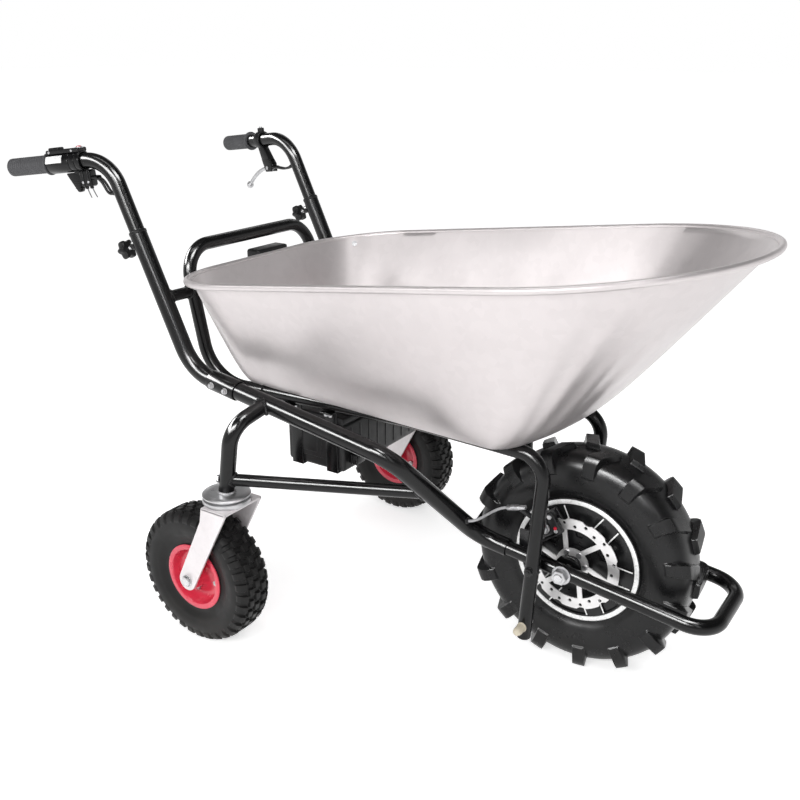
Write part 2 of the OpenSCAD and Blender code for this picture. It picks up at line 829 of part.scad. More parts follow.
// Controls on the handle bars, measured from the grip's end
housing_off = 2;
housing_l = 76;
paddle_off = 52;
housing_x = grip_l + housing_off;
housing_end = housing_x + housing_l;
housing_r = 19;
paddle_x = housing_x + paddle_off;
paddle_w = 13;
paddle_t = 14;
paddle_spread = 20;
body_l = 24;
body_w = 20;
body_low = 46;
paddle_drop = 36;
pod_w = 26;
pod_h = 8;
pod_sink = 3;
button_r = 5;
button_x = housing_end - button_r - housing_off;
button_travel = 3;
perch_off = 30;
perch_w = 18;
perch_t = 18;
lever_off = 30;
lever_front = 13;
perch_x = grip_l + perch_off;
lever_x = perch_x + lever_off;
perch_front = lever_x + lever_front;
lever_z = -62;
lever_t = 8;
lever_rod_r = 3.6;
lever_slot = 16;
lever_hub_r = 8;
lever_pin_r = 3;
lever_mid = [-46, 0, -6];
lever_end = [-86, 0, -36];
lever_bend = 50;
knob_gap = 10;
knob_h = 18;
knob_r = 19;
knob_lobes = 6;
knob_lobe_r = 5.5;

// Cables from the controls into the bars' straight legs
cable_drop = 60;
cable_pitch = 4;
function in_grip(side, p) =
    flip(grip_tip, side) + p.x * grip_x(side) + p.y * grip_y(side) + p.z * grip_z(side);
function cable_route(side, from, s) = let (
    a = in_grip(side, from + [seat_gap, 0, 0]),
    entry = bar_corner - cable_drop * post_dir + (bar_r + seat_gap) * knob_dir,
    b = flip(entry, side) + [0, s * cable_pitch, 0]
) curve(a, cable_lead * grip_x(side), b, cable_lead * knob_dir);
housing_mid_r = (housing_r + bar_r) / 2 + seat_gap;
body_end = paddle_x + paddle_w + body_l;
right_routes = [for (s = [-1, 1])
    cable_route(-1, [body_end, s * cable_pitch, -(body_low + housing_mid_r) / 2], s)];
left_routes = [for (s = [-1, 1]) cable_route(1, [perch_front, s * cable_pitch, lever_z], s)];

// Room that the lugs are cut from, over the shoulders and the crown
lug_over = 4;
lug_depth = 29;
lug_root_r = crown_r - lug_depth;
lug_shoulder_share = 0.93;
lug_shoulder_w_share = 0.86;
lug_angle = 24;
lug_centre_gap = 3;
lug_seat = [for (i = [8 : -1 : 5]) tyre_point(tyre_outer_shares[i], tyre_wall / 2)];
module lug_room() {
    half = tyre_half_w + lug_over;
    side = [
        [lug_root_r, half], [wheel_r * lug_shoulder_share, half], [wheel_r, half * lug_shoulder_w_share]
    ];
    spun(concat(side, mirrored(side), mirrored(lug_seat), lug_seat));
}

module lug(a, side) {
    rotate([0, -a, 0]) translate([lug_root_r, 0, 0]) rotate([side * lug_angle, 0, 0])
        translate([-lug_w, side > 0 ? lug_centre_gap : -lug_centre_gap - wheel_r, -lug_w / 2])
            cube([wheel_r, wheel_r, lug_w]);
}

module front_tyre() {
    color("black") from_axle() translate([0, 0, wheel_r]) {
        spun(concat(tyre_outer, mirrored(tyre_outer), mirrored(tyre_inner), tyre_inner));
        intersection() {
            lug_room();
            for (i = [0 : lug_n - 1], side = [-1, 1])
                lug((i + (side > 0 ? 1 / 2 : 0)) * 360 / lug_n - 90, side);
        }
    }
}

module wheel_rim() {
    w = rim_half_w + flange_t;
    half = [[drum_r, w], [flange_r, w], [flange_r, rim_half_w], [barrel_r, rim_half_w]];
    color("dimgray") from_axle() translate([0, 0, wheel_r]) spun(concat(half, mirrored(half)));
}

// Hub cover of the left side, with the bearing's housing inside
module hub_cover() {
    inner = hub_face - cover_t;
    boss_r = bearing_r + bearing_boss;
    translate([0, 0, wheel_r]) spun([
        [bearing_r, hub_face], [drum_r - seat_gap, hub_face], [drum_r - seat_gap, inner],
        [boss_r, inner], [boss_r, hub_face - bearing_w], [bearing_r, hub_face - bearing_w]
    ]);
}

module left_hub_cover() {
    color("black") from_axle() hub_cover();
}

module right_hub_cover() {
    color("black") from_axle() on_side(-1) difference() {
        union() {
            hub_cover();
            translate([0, 0, wheel_r]) ring(disc_bore, disc_hub_r, hub_face, disc_face);
        }
        disc_bolt_rods(disc_bolt_r + run_gap);
    }
}

module hub_bearings() {
    color("gray") from_axle() translate([0, 0, wheel_r]) for (side = [-1, 1]) on_side(side)
        ring(axle_r + run_gap, bearing_r - run_gap, hub_face - bearing_w, hub_face - seat_gap);
}

module magnet_ring() {
    color("slategray") from_axle() translate([0, 0, wheel_r])
        ring(magnet_r - magnet_t, magnet_r, -stator_half_w, stator_half_w);
}

module motor_stator() {
    outer = magnet_r - magnet_t - air_gap;
    color("peru") from_axle() translate([0, 0, wheel_r]) difference() {
        ring(axle_r + run_gap, outer, -stator_half_w, stator_half_w);
        for (i = [0 : stator_slots - 1]) rotate([0, i * 360 / stator_slots, 0])
            cross_rod(blend(axle_r, outer, stator_slot_share), 0, -rim_half_w, rim_half_w, stator_slot_r);
    }
}

module wheel_axle() {
    color("silver") from_axle() {
        cross_rod(0, wheel_r, -plate_in, plate_in, axle_r);
        cross_rod(0, wheel_r, -axle_end, axle_end, axle_end_r);
    }
}

module axle_plates() {
    color("black") from_axle() translate([0, 0, wheel_r]) for (side = [-1, 1]) on_side(side)
        ring(axle_end_r + run_gap, plate_r, plate_in, plate_in + plate_t);
}

module axle_nuts() {
    y = arm_gap / 2 + loop_r;
    color("silver") from_axle() for (side = [-1, 1]) on_side(side) translate([0, 0, wheel_r]) {
        ring(axle_end_r + run_gap, axle_washer_r, y, y + axle_washer_t);
        difference() {
            translate([0, y + axle_washer_t, 0]) rotate([-90, 0, 0])
                cylinder(h = axle_nut_h, r = axle_nut_r, $fn = 6);
            cross_rod(0, 0, y, y + axle_nut_h + overrun, axle_end_r + run_gap);
        }
    }
}

// Disc brake on the right side, drawn on the left and mirrored
module disc_bolt_rods(r) {
    for (i = [0 : disc_bolt_n - 1]) translate([0, 0, wheel_r]) rotate([0, i * 360 / disc_bolt_n, 0])
        cross_rod(disc_bolt_pitch_r, 0, disc_face - disc_bolt_depth, disc_face + disc_t, r);
}

module brake_disc() {
    color("silver") from_axle() on_side(-1) difference() {
        translate([0, 0, wheel_r]) union() {
            ring(disc_r - band_w, disc_r, disc_face, disc_face + disc_t);
            ring(disc_bore, disc_hub_r, disc_face, disc_face + disc_t);
            for (i = [0 : disc_arm_n - 1]) rotate([0, i * 360 / disc_arm_n, 0])
                translate([disc_hub_r - disc_arm_w / 2, disc_face, 0]) rotate([0, disc_arm_skew, 0])
                    translate([0, 0, -disc_arm_w / 2])
                        cube([disc_r - band_w - disc_hub_r + disc_arm_w, disc_t, disc_arm_w]);
        }
        disc_bolt_rods(disc_bolt_r + run_gap);
        translate([0, 0, wheel_r]) for (i = [0 : disc_hole_n - 1]) rotate([0, i * 360 / disc_hole_n, 0]) {
            cross_rod(disc_r - band_w * (i % 2 == 0 ? disc_hole_in_share : disc_hole_out_share), 0,
                disc_face - overrun, disc_face + overrun, disc_hole_r);
            if (i % 2 == 1) cross_rod(disc_r + disc_wave_r * disc_wave_share, 0,
                disc_face - overrun, disc_face + overrun, disc_wave_r);
        }
    }
}

module disc_bolts() {
    color("dimgray") from_axle() on_side(-1) {
        disc_bolt_rods(disc_bolt_r);
        for (i = [0 : disc_bolt_n - 1]) translate([0, 0, wheel_r]) rotate([0, i * 360 / disc_bolt_n, 0])
            translate([disc_bolt_pitch_r, disc_face + disc_t, 0]) rotate([-90, 0, 0])
                cylinder(h = disc_bolt_r, r = 2 * disc_bolt_r);
    }
}

// Puts children on the caliper's radial line, X outward from the axle
module at_caliper() {
    translate([0, 0, wheel_r]) rotate([0, -caliper_angle, 0]) children();
}

module caliper_body() {
    color("darkgray") from_axle() on_side(-1) difference() {
        union() {
            at_caliper() translate([caliper_in, caliper_y0, -caliper_w / 2])
                cube([caliper_out - caliper_in, caliper_y1 - caliper_y0, caliper_w]);
            translate([-bracket_back, caliper_y1 - run_gap, wheel_r])
                cube([bracket_w, plate_in + plate_t - caliper_y1 + run_gap, bracket_h]);
            rod(stop_root, stop_mid, stop_r);
            rod(barrel_rear, barrel_front, barrel_stop_r);
        }
        translate([0, 0, wheel_r]) cross_rod(0, 0, pad_y0, pad_y1, disc_r + disc_t);
        at_caliper() {
            cross_rod(arm_pivot_r, 0, caliper_y1 - arm_pin_l, caliper_y1 + overrun, arm_pin_r + run_gap);
            cross_rod(arm_pivot_r, 0, caliper_y1, caliper_y1 + overrun, arm_w);
        }
    }
}

module brake_pads() {
    color("saddlebrown") from_axle() on_side(-1) at_caliper()
        for (y = [[pad_y0, disc_face - seat_gap], [disc_face + disc_t + seat_gap, pad_y1]])
            translate([disc_r - band_w, y[0], -pad_w / 2]) cube([band_w, y[1] - y[0], pad_w]);
}

module caliper_arm() {
    y = caliper_y1 + seat_gap;
    color("silver") from_axle() on_side(-1) at_caliper() translate([arm_pivot_r, 0, 0]) {
        cross_rod(0, 0, caliper_y1 - arm_pin_l + seat_gap, y, arm_pin_r);
        cross_rod(0, 0, y, y + arm_t, arm_w - seat_gap);
        rotate([0, arm_turn, 0]) translate([0, y, -arm_w / 2]) cube([arm_l, arm_t, arm_w]);
        rotate([0, arm_turn, 0]) cross_rod(arm_l, 0, y, y + arm_t, arm_w / 2);
    }
}

module brake_cable() {
    color("dimgray") from_axle() on_side(-1) cord(brake_route, cable_r);
}

// Battery and electrics under and behind the tray
module battery_case() {
    wall = case_wall;
    color([0.1, 0.1, 0.1]) from_axle() translate([-case_back - case_l, -case_w / 2, case_low]) {
        difference() {
            cube([case_l, case_w, case_h - lid_h]);
            translate([wall, wall, wall]) cube([case_l - 2 * wall, case_w - 2 * wall, case_h]);
        }
        translate([0, 0, case_h - lid_h + seat_gap]) cube([case_l, case_w, lid_h - seat_gap]);
    }
}

module battery_pack() {
    room = case_wall + pack_gap;
    color("steelblue") from_axle()
        translate([-case_back - case_l + room, -case_w / 2 + room, case_low + case_wall])
            cube([case_l - 2 * room, case_w - 2 * room, case_h - lid_h - case_wall - pack_gap]);
}

// Strap under the battery case, hung from the rails
module cradle_strap(x) {
    top = rail_z(x + strap_w) - rail_r;
    low = case_low - cradle_t;
    y = case_w / 2 + cradle_t;
    reach = rail_y(x) + rail_r;
    translate([x, 0, 0]) {
        translate([0, -y, low]) cube([strap_w, 2 * y, cradle_t]);
        for (side = [-1, 1]) on_side(side) {
            translate([0, case_w / 2, low]) cube([strap_w, cradle_t, top - low]);
            translate([0, case_w / 2, top - cradle_t]) cube([strap_w, reach - case_w / 2, cradle_t]);
        }
    }
}

module battery_cradle() {
    color("black") from_axle() {
        cradle_strap(-case_back - case_l + strap_inset);
        cradle_strap(-case_back - strap_inset - strap_w);
    }
}

module controller_box() {
    top = floor_z(-controller_back) - seat_gap;
    color([0.1, 0.1, 0.1]) from_axle() translate([-controller_back, 0, top])
        rotate([0, floor_fall, 0]) translate([-controller_l, -controller_w / 2, -controller_h]) {
            cube([controller_l, controller_w, controller_h]);
            for (i = [1 : controller_fins]) translate([i * controller_l / (controller_fins + 1), 0, -fin_h])
                cube([fin_t, controller_w, fin_h]);
        }
}

function rear_wall_x(z) = let (t = (z - floor_h) / (rim_h - floor_h))
    -blend(floor_back, tray_back - rim_over, wall_out(t));

module key_box() {
    x = -tray_back - rim_r - seat_gap;
    low = key_top - key_h;
    color([0.1, 0.1, 0.1]) from_axle() {
        translate([x - key_t, key_y, low]) cube([key_t, key_w, key_h]);
        translate([0, key_y + key_w - key_rib_in, 0]) rotate([90, 0, 0])
            linear_extrude(key_w - 2 * key_rib_in) polygon([
                [x - run_gap, low], [rear_wall_x(low) - 2 * seat_gap, low],
                [rear_wall_x(key_rib_top) - 2 * seat_gap, key_rib_top], [x - run_gap, key_rib_top]
            ]);
    }
}

// Casters, drawn at the left pivot
module at_pivot(side) {
    translate([-wheelbase, side * track / 2, 0]) children();
}

module caster_stems() {
    spigot = leg_dir * stem_spigot_l;
    color("silver") from_axle() for (side = [-1, 1]) {
        on_side(side) difference() {
            rod(leg_foot - spigot, leg_foot + spigot, leg_r - tube_wall - seat_gap);
            translate(leg_foot - [head_r, head_r, 2 * head_r + head_t / 2]) cube(2 * head_r);
        }
        at_pivot(side) {
            translate([0, 0, head_h - head_t]) cylinder(h = head_t, r = head_r);
            translate([0, 0, web_h - strap_t - stem_nut_h - seat_gap])
                cylinder(h = head_h - web_h + strap_t + stem_nut_h, r = stem_r);
            translate([0, 0, web_h - strap_t - stem_nut_h - seat_gap])
                cylinder(h = stem_nut_h, r = 2 * stem_r, $fn = 6);
        }
    }
}

// Side strap of the fork, seen along Y from the pivot
module strap_outline() {
    d = unit([-trail, caster_r - strap_knee_h]);
    across = [-d.y, d.x] * strap_low_w / 2;
    axle = [-trail, caster_r];
    polygon([
        [-strap_back, web_h], [strap_front, web_h], [strap_front, web_h - strap_t],
        axle + across, axle - across, [-strap_knee_back, strap_knee_h]
    ]);
    translate(axle) circle(r = strap_low_w / 2);
}

module caster_fork(side) {
    y = fork_gap / 2;
    at_pivot(side) difference() {
        union() {
            translate([0, 0, web_h - strap_t / 2])
                cylinder(h = head_h - head_t - seat_gap - web_h + strap_t / 2, r = head_r);
            translate([-strap_back, -y - strap_t, web_h - strap_t])
                cube([strap_back + strap_front, 2 * (y + strap_t), strap_t]);
            for (s = [y + strap_t, -y]) translate([0, s, 0]) rotate([90, 0, 0])
                linear_extrude(strap_t) strap_outline();
        }
        translate([0, 0, web_h - strap_t - overrun]) cylinder(h = head_h, r = stem_r + run_gap);
        cross_rod(-trail, caster_r, -fork_gap, fork_gap, caster_axle_r + run_gap);
    }
}

module right_caster_fork() {
    color("gainsboro") from_axle() caster_fork(-1);
}

module left_caster_fork() {
    color("gainsboro") from_axle() caster_fork(1);
}

module caster_axle(side) {
    y = fork_gap / 2 + strap_t;
    at_pivot(side) bolt([-trail, -y, caster_r], [-trail, y, caster_r], caster_axle_r, caster_axle_r);
}

module right_caster_axle() {
    color("silver") from_axle() caster_axle(-1);
}

module left_caster_axle() {
    color("silver") from_axle() caster_axle(1);
}

function caster_point(s, wall) = [
    caster_seat_r + s.x * (caster_r - wall - caster_seat_r), s.y * (caster_half_w - wall)];
caster_outer = [for (s = tyre_outer_shares) caster_point(s, 0)];
caster_inner = [for (s = tyre_inner_shares) caster_point(s, tyre_wall)];

module caster_tyre(side) {
    at_pivot(side) translate([-trail, 0, caster_r])
        spun(concat(caster_outer, mirrored(caster_outer), mirrored(caster_inner), caster_inner));
}

module right_caster_tyre() {
    color([0.13, 0.13, 0.13]) from_axle() caster_tyre(-1);
}

module left_caster_tyre() {
    color([0.13, 0.13, 0.13]) from_axle() caster_tyre(1);
}

module caster_rim(side) {
    lip = caster_half_w * tyre_outer_shares[1].y + seat_gap;
    barrel = caster_seat_r - seat_gap;
    hub = caster_bearing_r + caster_skin;
    half = [
        [caster_bearing_r, caster_hub_l / 2], [hub, caster_hub_l / 2], [hub, caster_skin],
        [barrel - caster_skin, caster_skin], [barrel - caster_skin, lip + caster_skin],
        [caster_rim_r, lip + caster_skin], [caster_rim_r, lip], [barrel, lip]
    ];
    at_pivot(side) translate([-trail, 0, caster_r]) spun(concat(half, mirrored(half)));
}

module right_caster_rim() {
    color("crimson") from_axle() caster_rim(-1);
}

module left_caster_rim() {
    color("crimson") from_axle() caster_rim(1);
}

module caster_bearings(side) {
    at_pivot(side) translate([-trail, 0, caster_r]) for (s = [-1, 1]) on_side(s)
        ring(caster_axle_r + run_gap, caster_bearing_r - run_gap,
            caster_hub_l / 2 - bearing_w, caster_hub_l / 2);
}

module right_caster_bearings() {
    color("gray") from_axle() caster_bearings(-1);
}

module left_caster_bearings() {
    color("gray") from_axle() caster_bearings(1);
}

// Handle bars and what sits on them; local X runs up the bar from the grip's end
module in_grip_frame(side) {
    in_frame(grip_x(side), grip_y(side), grip_z(side), flip(grip_tip, side)) children();
}

// Cylinder and ring round the bar between two places along it
module bar_rod(x0, x1, r) {
    translate([x0, 0, 0]) rotate([0, 90, 0]) cylinder(h = x1 - x0, r = r);
}

module bar_ring(x0, x1, r) {
    difference() {
        bar_rod(x0, x1, r);
        bar_rod(x0 - overrun, x1 + overrun, bar_r + run_gap);
    }
}

module handle_bar() {
    pipe(bar_points, [bar_bend], bar_r, bar_r - tube_wall);
}

module right_handle_bar() {
    color("black") from_axle() on_side(-1) handle_bar();
}

module left_handle_bar() {
    color("black") from_axle() on_side(1) handle_bar();
}

module grip(side) {
    in_grip_frame(side) difference() {
        union() {
            bar_rod(0, grip_l, grip_r);
            bar_rod(grip_l - grip_cap, grip_l, grip_r + grip_cap);
        }
        bar_rod(grip_cap, grip_l + overrun, bar_r + run_gap);
    }
}

module right_grip() {
    color([0.2, 0.2, 0.21]) from_axle() grip(-1);
}

module left_grip() {
    color([0.2, 0.2, 0.21]) from_axle() grip(1);
}

module throttle_housing() {
    color("black") from_axle() in_grip_frame(-1) difference() {
        union() {
            bar_ring(housing_x, paddle_x, housing_r);
            bar_ring(paddle_x + paddle_w, housing_end, housing_r);
            translate([housing_x, -pod_w / 2, housing_r - pod_sink])
                cube([housing_end - housing_x, pod_w, pod_h]);
            // Throttle body below the bar, which the cables come out of
            translate([paddle_x + paddle_w, -body_w / 2, -body_low])
                cube([body_l, body_w, body_low - housing_mid_r]);
        }
        bar_rod(paddle_x, paddle_x + paddle_w, housing_r + seat_gap);
        translate([button_x, 0, housing_r]) cylinder(h = pod_h, r = button_r + run_gap);
    }
}

module throttle_paddle() {
    x0 = paddle_x + seat_gap;
    x1 = paddle_x + paddle_w - seat_gap;
    z0 = -housing_r - 2 * seat_gap;
    color([0.12, 0.12, 0.12]) from_axle() in_grip_frame(-1) {
        difference() {
            bar_rod(x0, x1, housing_r - seat_gap);
            bar_rod(x0 - overrun, x1 + overrun, bar_r + seat_gap);
        }
        translate([x0, -paddle_t / 2, z0]) cube([x1 - x0, paddle_t, housing_r - bar_r]);
        translate([0, paddle_t / 2, 0]) rotate([90, 0, 0]) linear_extrude(paddle_t) polygon([
            [x0 - paddle_spread, z0], [x1, z0], [x1, z0 - paddle_w],
            [x1 - paddle_w / 2, z0 - paddle_drop], [x0, z0 - paddle_drop]
        ]);
    }
}

module red_button() {
    z0 = housing_r + button_travel + seat_gap;
    color("red") from_axle() in_grip_frame(-1) translate([button_x, 0, z0])
        cylinder(h = pod_h - pod_sink, r = button_r);
}

module right_cables() {
    color([0.08, 0.08, 0.08]) from_axle() for (route = right_routes) cord(route, cable_r);
}

module brake_perch() {
    color([0.12, 0.12, 0.12]) from_axle() in_grip_frame(1) {
        difference() {
            union() {
                bar_rod(perch_x, perch_x + perch_w, housing_r);
                translate([0, perch_t / 2, 0]) rotate([90, 0, 0]) linear_extrude(perch_t) polygon([
                    [perch_x, -bar_r], [perch_x + perch_w, -bar_r],
                    [perch_front, lever_z + perch_w / 2], [perch_front, lever_z - perch_w / 2],
                    [lever_x - perch_w / 2, lever_z - perch_w / 2]
                ]);
            }
            bar_rod(perch_x - overrun, perch_x + perch_w + overrun, bar_r + run_gap);
            translate([lever_x - lever_slot, -lever_t / 2 - seat_gap, lever_z - lever_slot]) cube([
                lever_slot + lever_hub_r + 2 * seat_gap, lever_t + 2 * seat_gap,
                lever_slot + perch_w / 2 + lever_t
            ]);
        }
        cross_rod(lever_x, lever_z, -perch_t / 2, perch_t / 2, lever_pin_r);
    }
}

module brake_lever() {
    hub = [lever_x, 0, lever_z];
    color("silver") from_axle() in_grip_frame(1) difference() {
        union() {
            cross_rod(lever_x, lever_z, -lever_t / 2, lever_t / 2, lever_hub_r);
            pipe([hub, hub + lever_mid, hub + lever_end], [lever_bend], lever_rod_r, 0);
            translate(hub + lever_end) sphere(r = lever_t);
        }
        cross_rod(lever_x, lever_z, -perch_t, perch_t, lever_pin_r + run_gap);
    }
}

module left_cables() {
    color([0.08, 0.08, 0.08]) from_axle() for (route = left_routes) cord(route, cable_r);
}

// Clamp knobs on the posts, Z along the stud away from the post
module knob(side) {
    base = main_r + knob_boss_h + knob_gap;
    p = flip(knob_seat, side);
    translate(p) rotate([0, -90 - post_lean, 0]) {
        translate([0, 0, bar_r + seat_gap]) cylinder(h = base - bar_r, r = knob_stud_r);
        translate([0, 0, base]) {
            cylinder(h = knob_h, r = knob_r - knob_lobe_r);
            for (i = [0 : knob_lobes - 1]) rotate([0, 0, i * 360 / knob_lobes])
                translate([knob_r - knob_lobe_r, 0, 0]) cylinder(h = knob_h, r = knob_lobe_r);
        }
    }
}

module right_knob() {
    color([0.1, 0.1, 0.1]) from_axle() knob(-1);
}

module left_knob() {
    color([0.1, 0.1, 0.1]) from_axle() knob(1);
}

tray();
frame_bolts();
right_main_tube();
left_main_tube();
front_loop();
right_rail();
left_rail();
rear_hoop();
hoop_stubs();
caster_legs();
tie_tubes();
cross_bars();
right_handle_post();
left_handle_post();
joint_sleeves();
axle_plates();
wheel_axle();
axle_nuts();
motor_stator();
caliper_body();
brake_pads();
brake_cable();
battery_cradle();
battery_case();
battery_pack();
controller_box();
key_box();
caster_stems();
front_tyre();
wheel_rim();
right_hub_cover();
left_hub_cover();
hub_bearings();
magnet_ring();
brake_disc();
disc_bolts();
caliper_arm();
right_caster_fork();
right_caster_axle();
left_caster_fork();
left_caster_axle();
right_caster_tyre();
right_caster_rim();
right_caster_bearings();
left_caster_tyre();
left_caster_rim();
left_caster_bearings();
right_handle_bar();
right_grip();
throttle_housing();
right_cables();
throttle_paddle();
red_button();
left_handle_bar();
left_grip();
brake_perch();
left_cables();
brake_lever();
right_knob();
left_knob();
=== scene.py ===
"""Looks of a three-wheeled powered wheelbarrow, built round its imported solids.

The part's frame has X forward, Y to the left and Z up, in metres. Shapes here are worked out in
millimetres from the foot of the front axle, as the solids are, and Place moves them over.
"""

from __future__ import annotations

import json
import logging
import math
from dataclasses import dataclass
from enum import Enum
from typing import Any, Sequence

import bmesh
import bpy
import numpy as np
from mathutils import Matrix, Vector

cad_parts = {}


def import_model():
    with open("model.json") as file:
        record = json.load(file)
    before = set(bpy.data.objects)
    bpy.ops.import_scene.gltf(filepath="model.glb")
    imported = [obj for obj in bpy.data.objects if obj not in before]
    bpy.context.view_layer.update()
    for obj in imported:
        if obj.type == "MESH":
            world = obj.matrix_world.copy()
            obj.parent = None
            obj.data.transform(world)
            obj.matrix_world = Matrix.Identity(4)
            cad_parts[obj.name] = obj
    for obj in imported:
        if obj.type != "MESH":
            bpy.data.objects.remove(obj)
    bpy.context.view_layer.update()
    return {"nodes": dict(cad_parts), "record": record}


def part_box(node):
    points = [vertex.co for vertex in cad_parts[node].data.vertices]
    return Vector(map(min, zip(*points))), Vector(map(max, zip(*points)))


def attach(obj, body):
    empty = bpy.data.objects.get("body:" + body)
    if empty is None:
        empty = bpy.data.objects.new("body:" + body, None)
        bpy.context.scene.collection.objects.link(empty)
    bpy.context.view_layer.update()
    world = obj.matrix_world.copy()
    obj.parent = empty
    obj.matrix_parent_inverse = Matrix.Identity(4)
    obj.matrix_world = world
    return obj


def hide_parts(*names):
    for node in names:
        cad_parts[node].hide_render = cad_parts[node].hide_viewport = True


LOG = logging.getLogger("barrow")
Array = np.ndarray
MM = 0.001
UP = np.array([0.0, 0.0, 1.0])
ACROSS = np.array([0.0, 1.0, 0.0])
AHEAD = np.array([1.0, 0.0, 0.0])
ORIGIN = (0.0, 0.0, 0.0)
MIRROR = np.array([1.0, -1.0, 1.0])
RING = np.linspace(0, 2 * math.pi, 96, endpoint=False)
WELD_RING = np.linspace(0, 2 * math.pi, 120, endpoint=False)
MIX_A, MIX_B, MIX_OUT = 6, 7, 2
MIX_FLOAT_A, MIX_FLOAT_B = 2, 3
COAT_ROUGH = 0.06
SHEEN_SCALE = 2.7
MERGE_GAP = 2e-6


class Side(Enum):
    """Side of the barrow, as the sign of Y."""

    RIGHT = -1
    LEFT = 1

    @property
    def word(self) -> str:
        """Name of the side in node and body names."""
        return self.name.lower()

    @property
    def flip(self) -> Array:
        """Factors that put a point of the left side on this side."""
        return np.array([1.0, self.value, 1.0])


@dataclass(frozen=True)
class Place:
    """Moves millimetres from the front axle's foot into the part's frame.

    Args:
        axle_x: place of the front axle along X, in metres.
    """

    axle_x: float

    def row(self, points: Array) -> Array:
        """Points in the part's frame.

        Args:
            points: millimetres, with the last axis x, y, z.

        Returns:
            The same points in metres, in the part's frame.
        """
        return np.asarray(points, float) * MM + np.array([self.axle_x, 0.0, 0.0])


@dataclass
class Surface:
    """Vertices in millimetres and faces of any size."""

    verts: Array
    faces: list[list[int]]

    def moved(self, turn: Array | None = None, to: Sequence[float] = ORIGIN) -> Surface:
        """A copy, turned by a 3 by 3 matrix and then shifted."""
        verts = self.verts if turn is None else self.verts @ np.asarray(turn).T
        return Surface(verts + np.asarray(to, float), self.faces)

    def flipped(self, side: Side) -> Surface:
        """The shape drawn for the left side, mirrored where the side is the right."""
        return Surface(self.verts * side.flip, self.faces)


def merge(parts: Sequence[Surface]) -> Surface:
    """One surface from several."""
    starts = np.cumsum([0] + [len(p.verts) for p in parts[:-1]])
    faces = [[i + int(s) for i in f] for p, s in zip(parts, starts, strict=True) for f in p.faces]
    return Surface(np.concatenate([p.verts for p in parts]), faces)


def both(shapes: Sequence[Surface]) -> list[Surface]:
    """Shapes drawn for the left side, on both sides."""
    return [shape.flipped(side) for shape in shapes for side in Side]


def unit(v: Sequence[float]) -> Array:
    """The vector at length 1."""
    v = np.asarray(v, float)
    return v / np.linalg.norm(v)


def unit_rows(v: Array) -> Array:
    """Rows scaled to length 1."""
    return v / np.maximum(np.linalg.norm(v, axis=-1, keepdims=True), 1e-9)


def axes_to(axis: Sequence[float]) -> Array:
    """Matrix that turns Z to lie along an axis."""
    z = unit(axis)
    helper = AHEAD if abs(z[0]) < 0.9 else ACROSS
    y = unit(np.cross(z, helper))
    return np.stack([np.cross(y, z), y, z], 1)


def about(axis: Sequence[float], degrees: Array | float) -> Array:
    """Rotation matrices about an axis, one for each angle."""
    k = unit(axis)
    a = np.radians(np.atleast_1d(degrees))[:, None, None]
    cross = np.array([[0, -k[2], k[1]], [k[2], 0, -k[0]], [-k[1], k[0], 0]])
    return np.eye(3) + np.sin(a) * cross + (1 - np.cos(a)) * (cross @ cross)


def tan(degrees: float) -> float:
    """Tangent of an angle in degrees."""
    return math.tan(math.radians(degrees))


def lean(degrees: float) -> Array:
    """Direction in the XZ plane that leans to the rear from straight up."""
    a = math.radians(degrees)
    return np.array([-math.sin(a), 0.0, math.cos(a)])


def grid_faces(nu: int, nv: int, wrap_u: bool, wrap_v: bool) -> list[list[int]]:
    """Quads of a grid of points held row by row."""
    u, v = np.meshgrid(np.arange(nu - (not wrap_u)), np.arange(nv - (not wrap_v)), indexing="ij")
    u1, v1 = (u + 1) % nu, (v + 1) % nv
    return np.stack([u * nv + v, u1 * nv + v, u1 * nv + v1, u * nv + v1], -1).reshape(-1, 4).tolist()


def box_fade(t: Array, low: float, high: float, soft: float) -> Array:
    """1 between two places and 0 outside, with smooth flanks of the given width."""
    up = np.clip((t - low) / soft + 0.5, 0, 1)
    down = np.clip((high - t) / soft + 0.5, 0, 1)
    mask = np.minimum(up, down)
    return mask * mask * (3 - 2 * mask)


def spline_at(points: Sequence[Sequence[float]], u: Array) -> Array:
    """Catmull-Rom line through points, read at places counted in points."""
    p = np.asarray(points, float)
    p = np.concatenate([2 * p[:1] - p[1:2], p, 2 * p[-1:] - p[-2:-1]])
    i = np.clip(np.floor(u).astype(int), 0, len(p) - 4)
    t = (u - i)[:, None]
    a, b, c, d = p[i], p[i + 1], p[i + 2], p[i + 3]
    return 0.5 * (2 * b + (c - a) * t + (2 * a - 5 * b + 4 * c - d) * t**2 + (3 * b - a - 3 * c + d) * t**3)


def smooth_line(points: Sequence[Sequence[float]], steps: int) -> Array:
    """A Catmull-Rom line through points, with the given steps for each gap."""
    gaps = len(points) - 1
    return spline_at(points, np.linspace(0, gaps, gaps * steps + 1))


def bezier(a: Array, u: Array, b: Array, v: Array, steps: int = 32) -> Array:
    """Cubic line between two ends, with the way each end is left."""
    t = np.linspace(0, 1, steps)[:, None]
    s = 1 - t
    return s**3 * a + 3 * s**2 * t * (a + u) + 3 * s * t**2 * (b + v) + t**3 * b


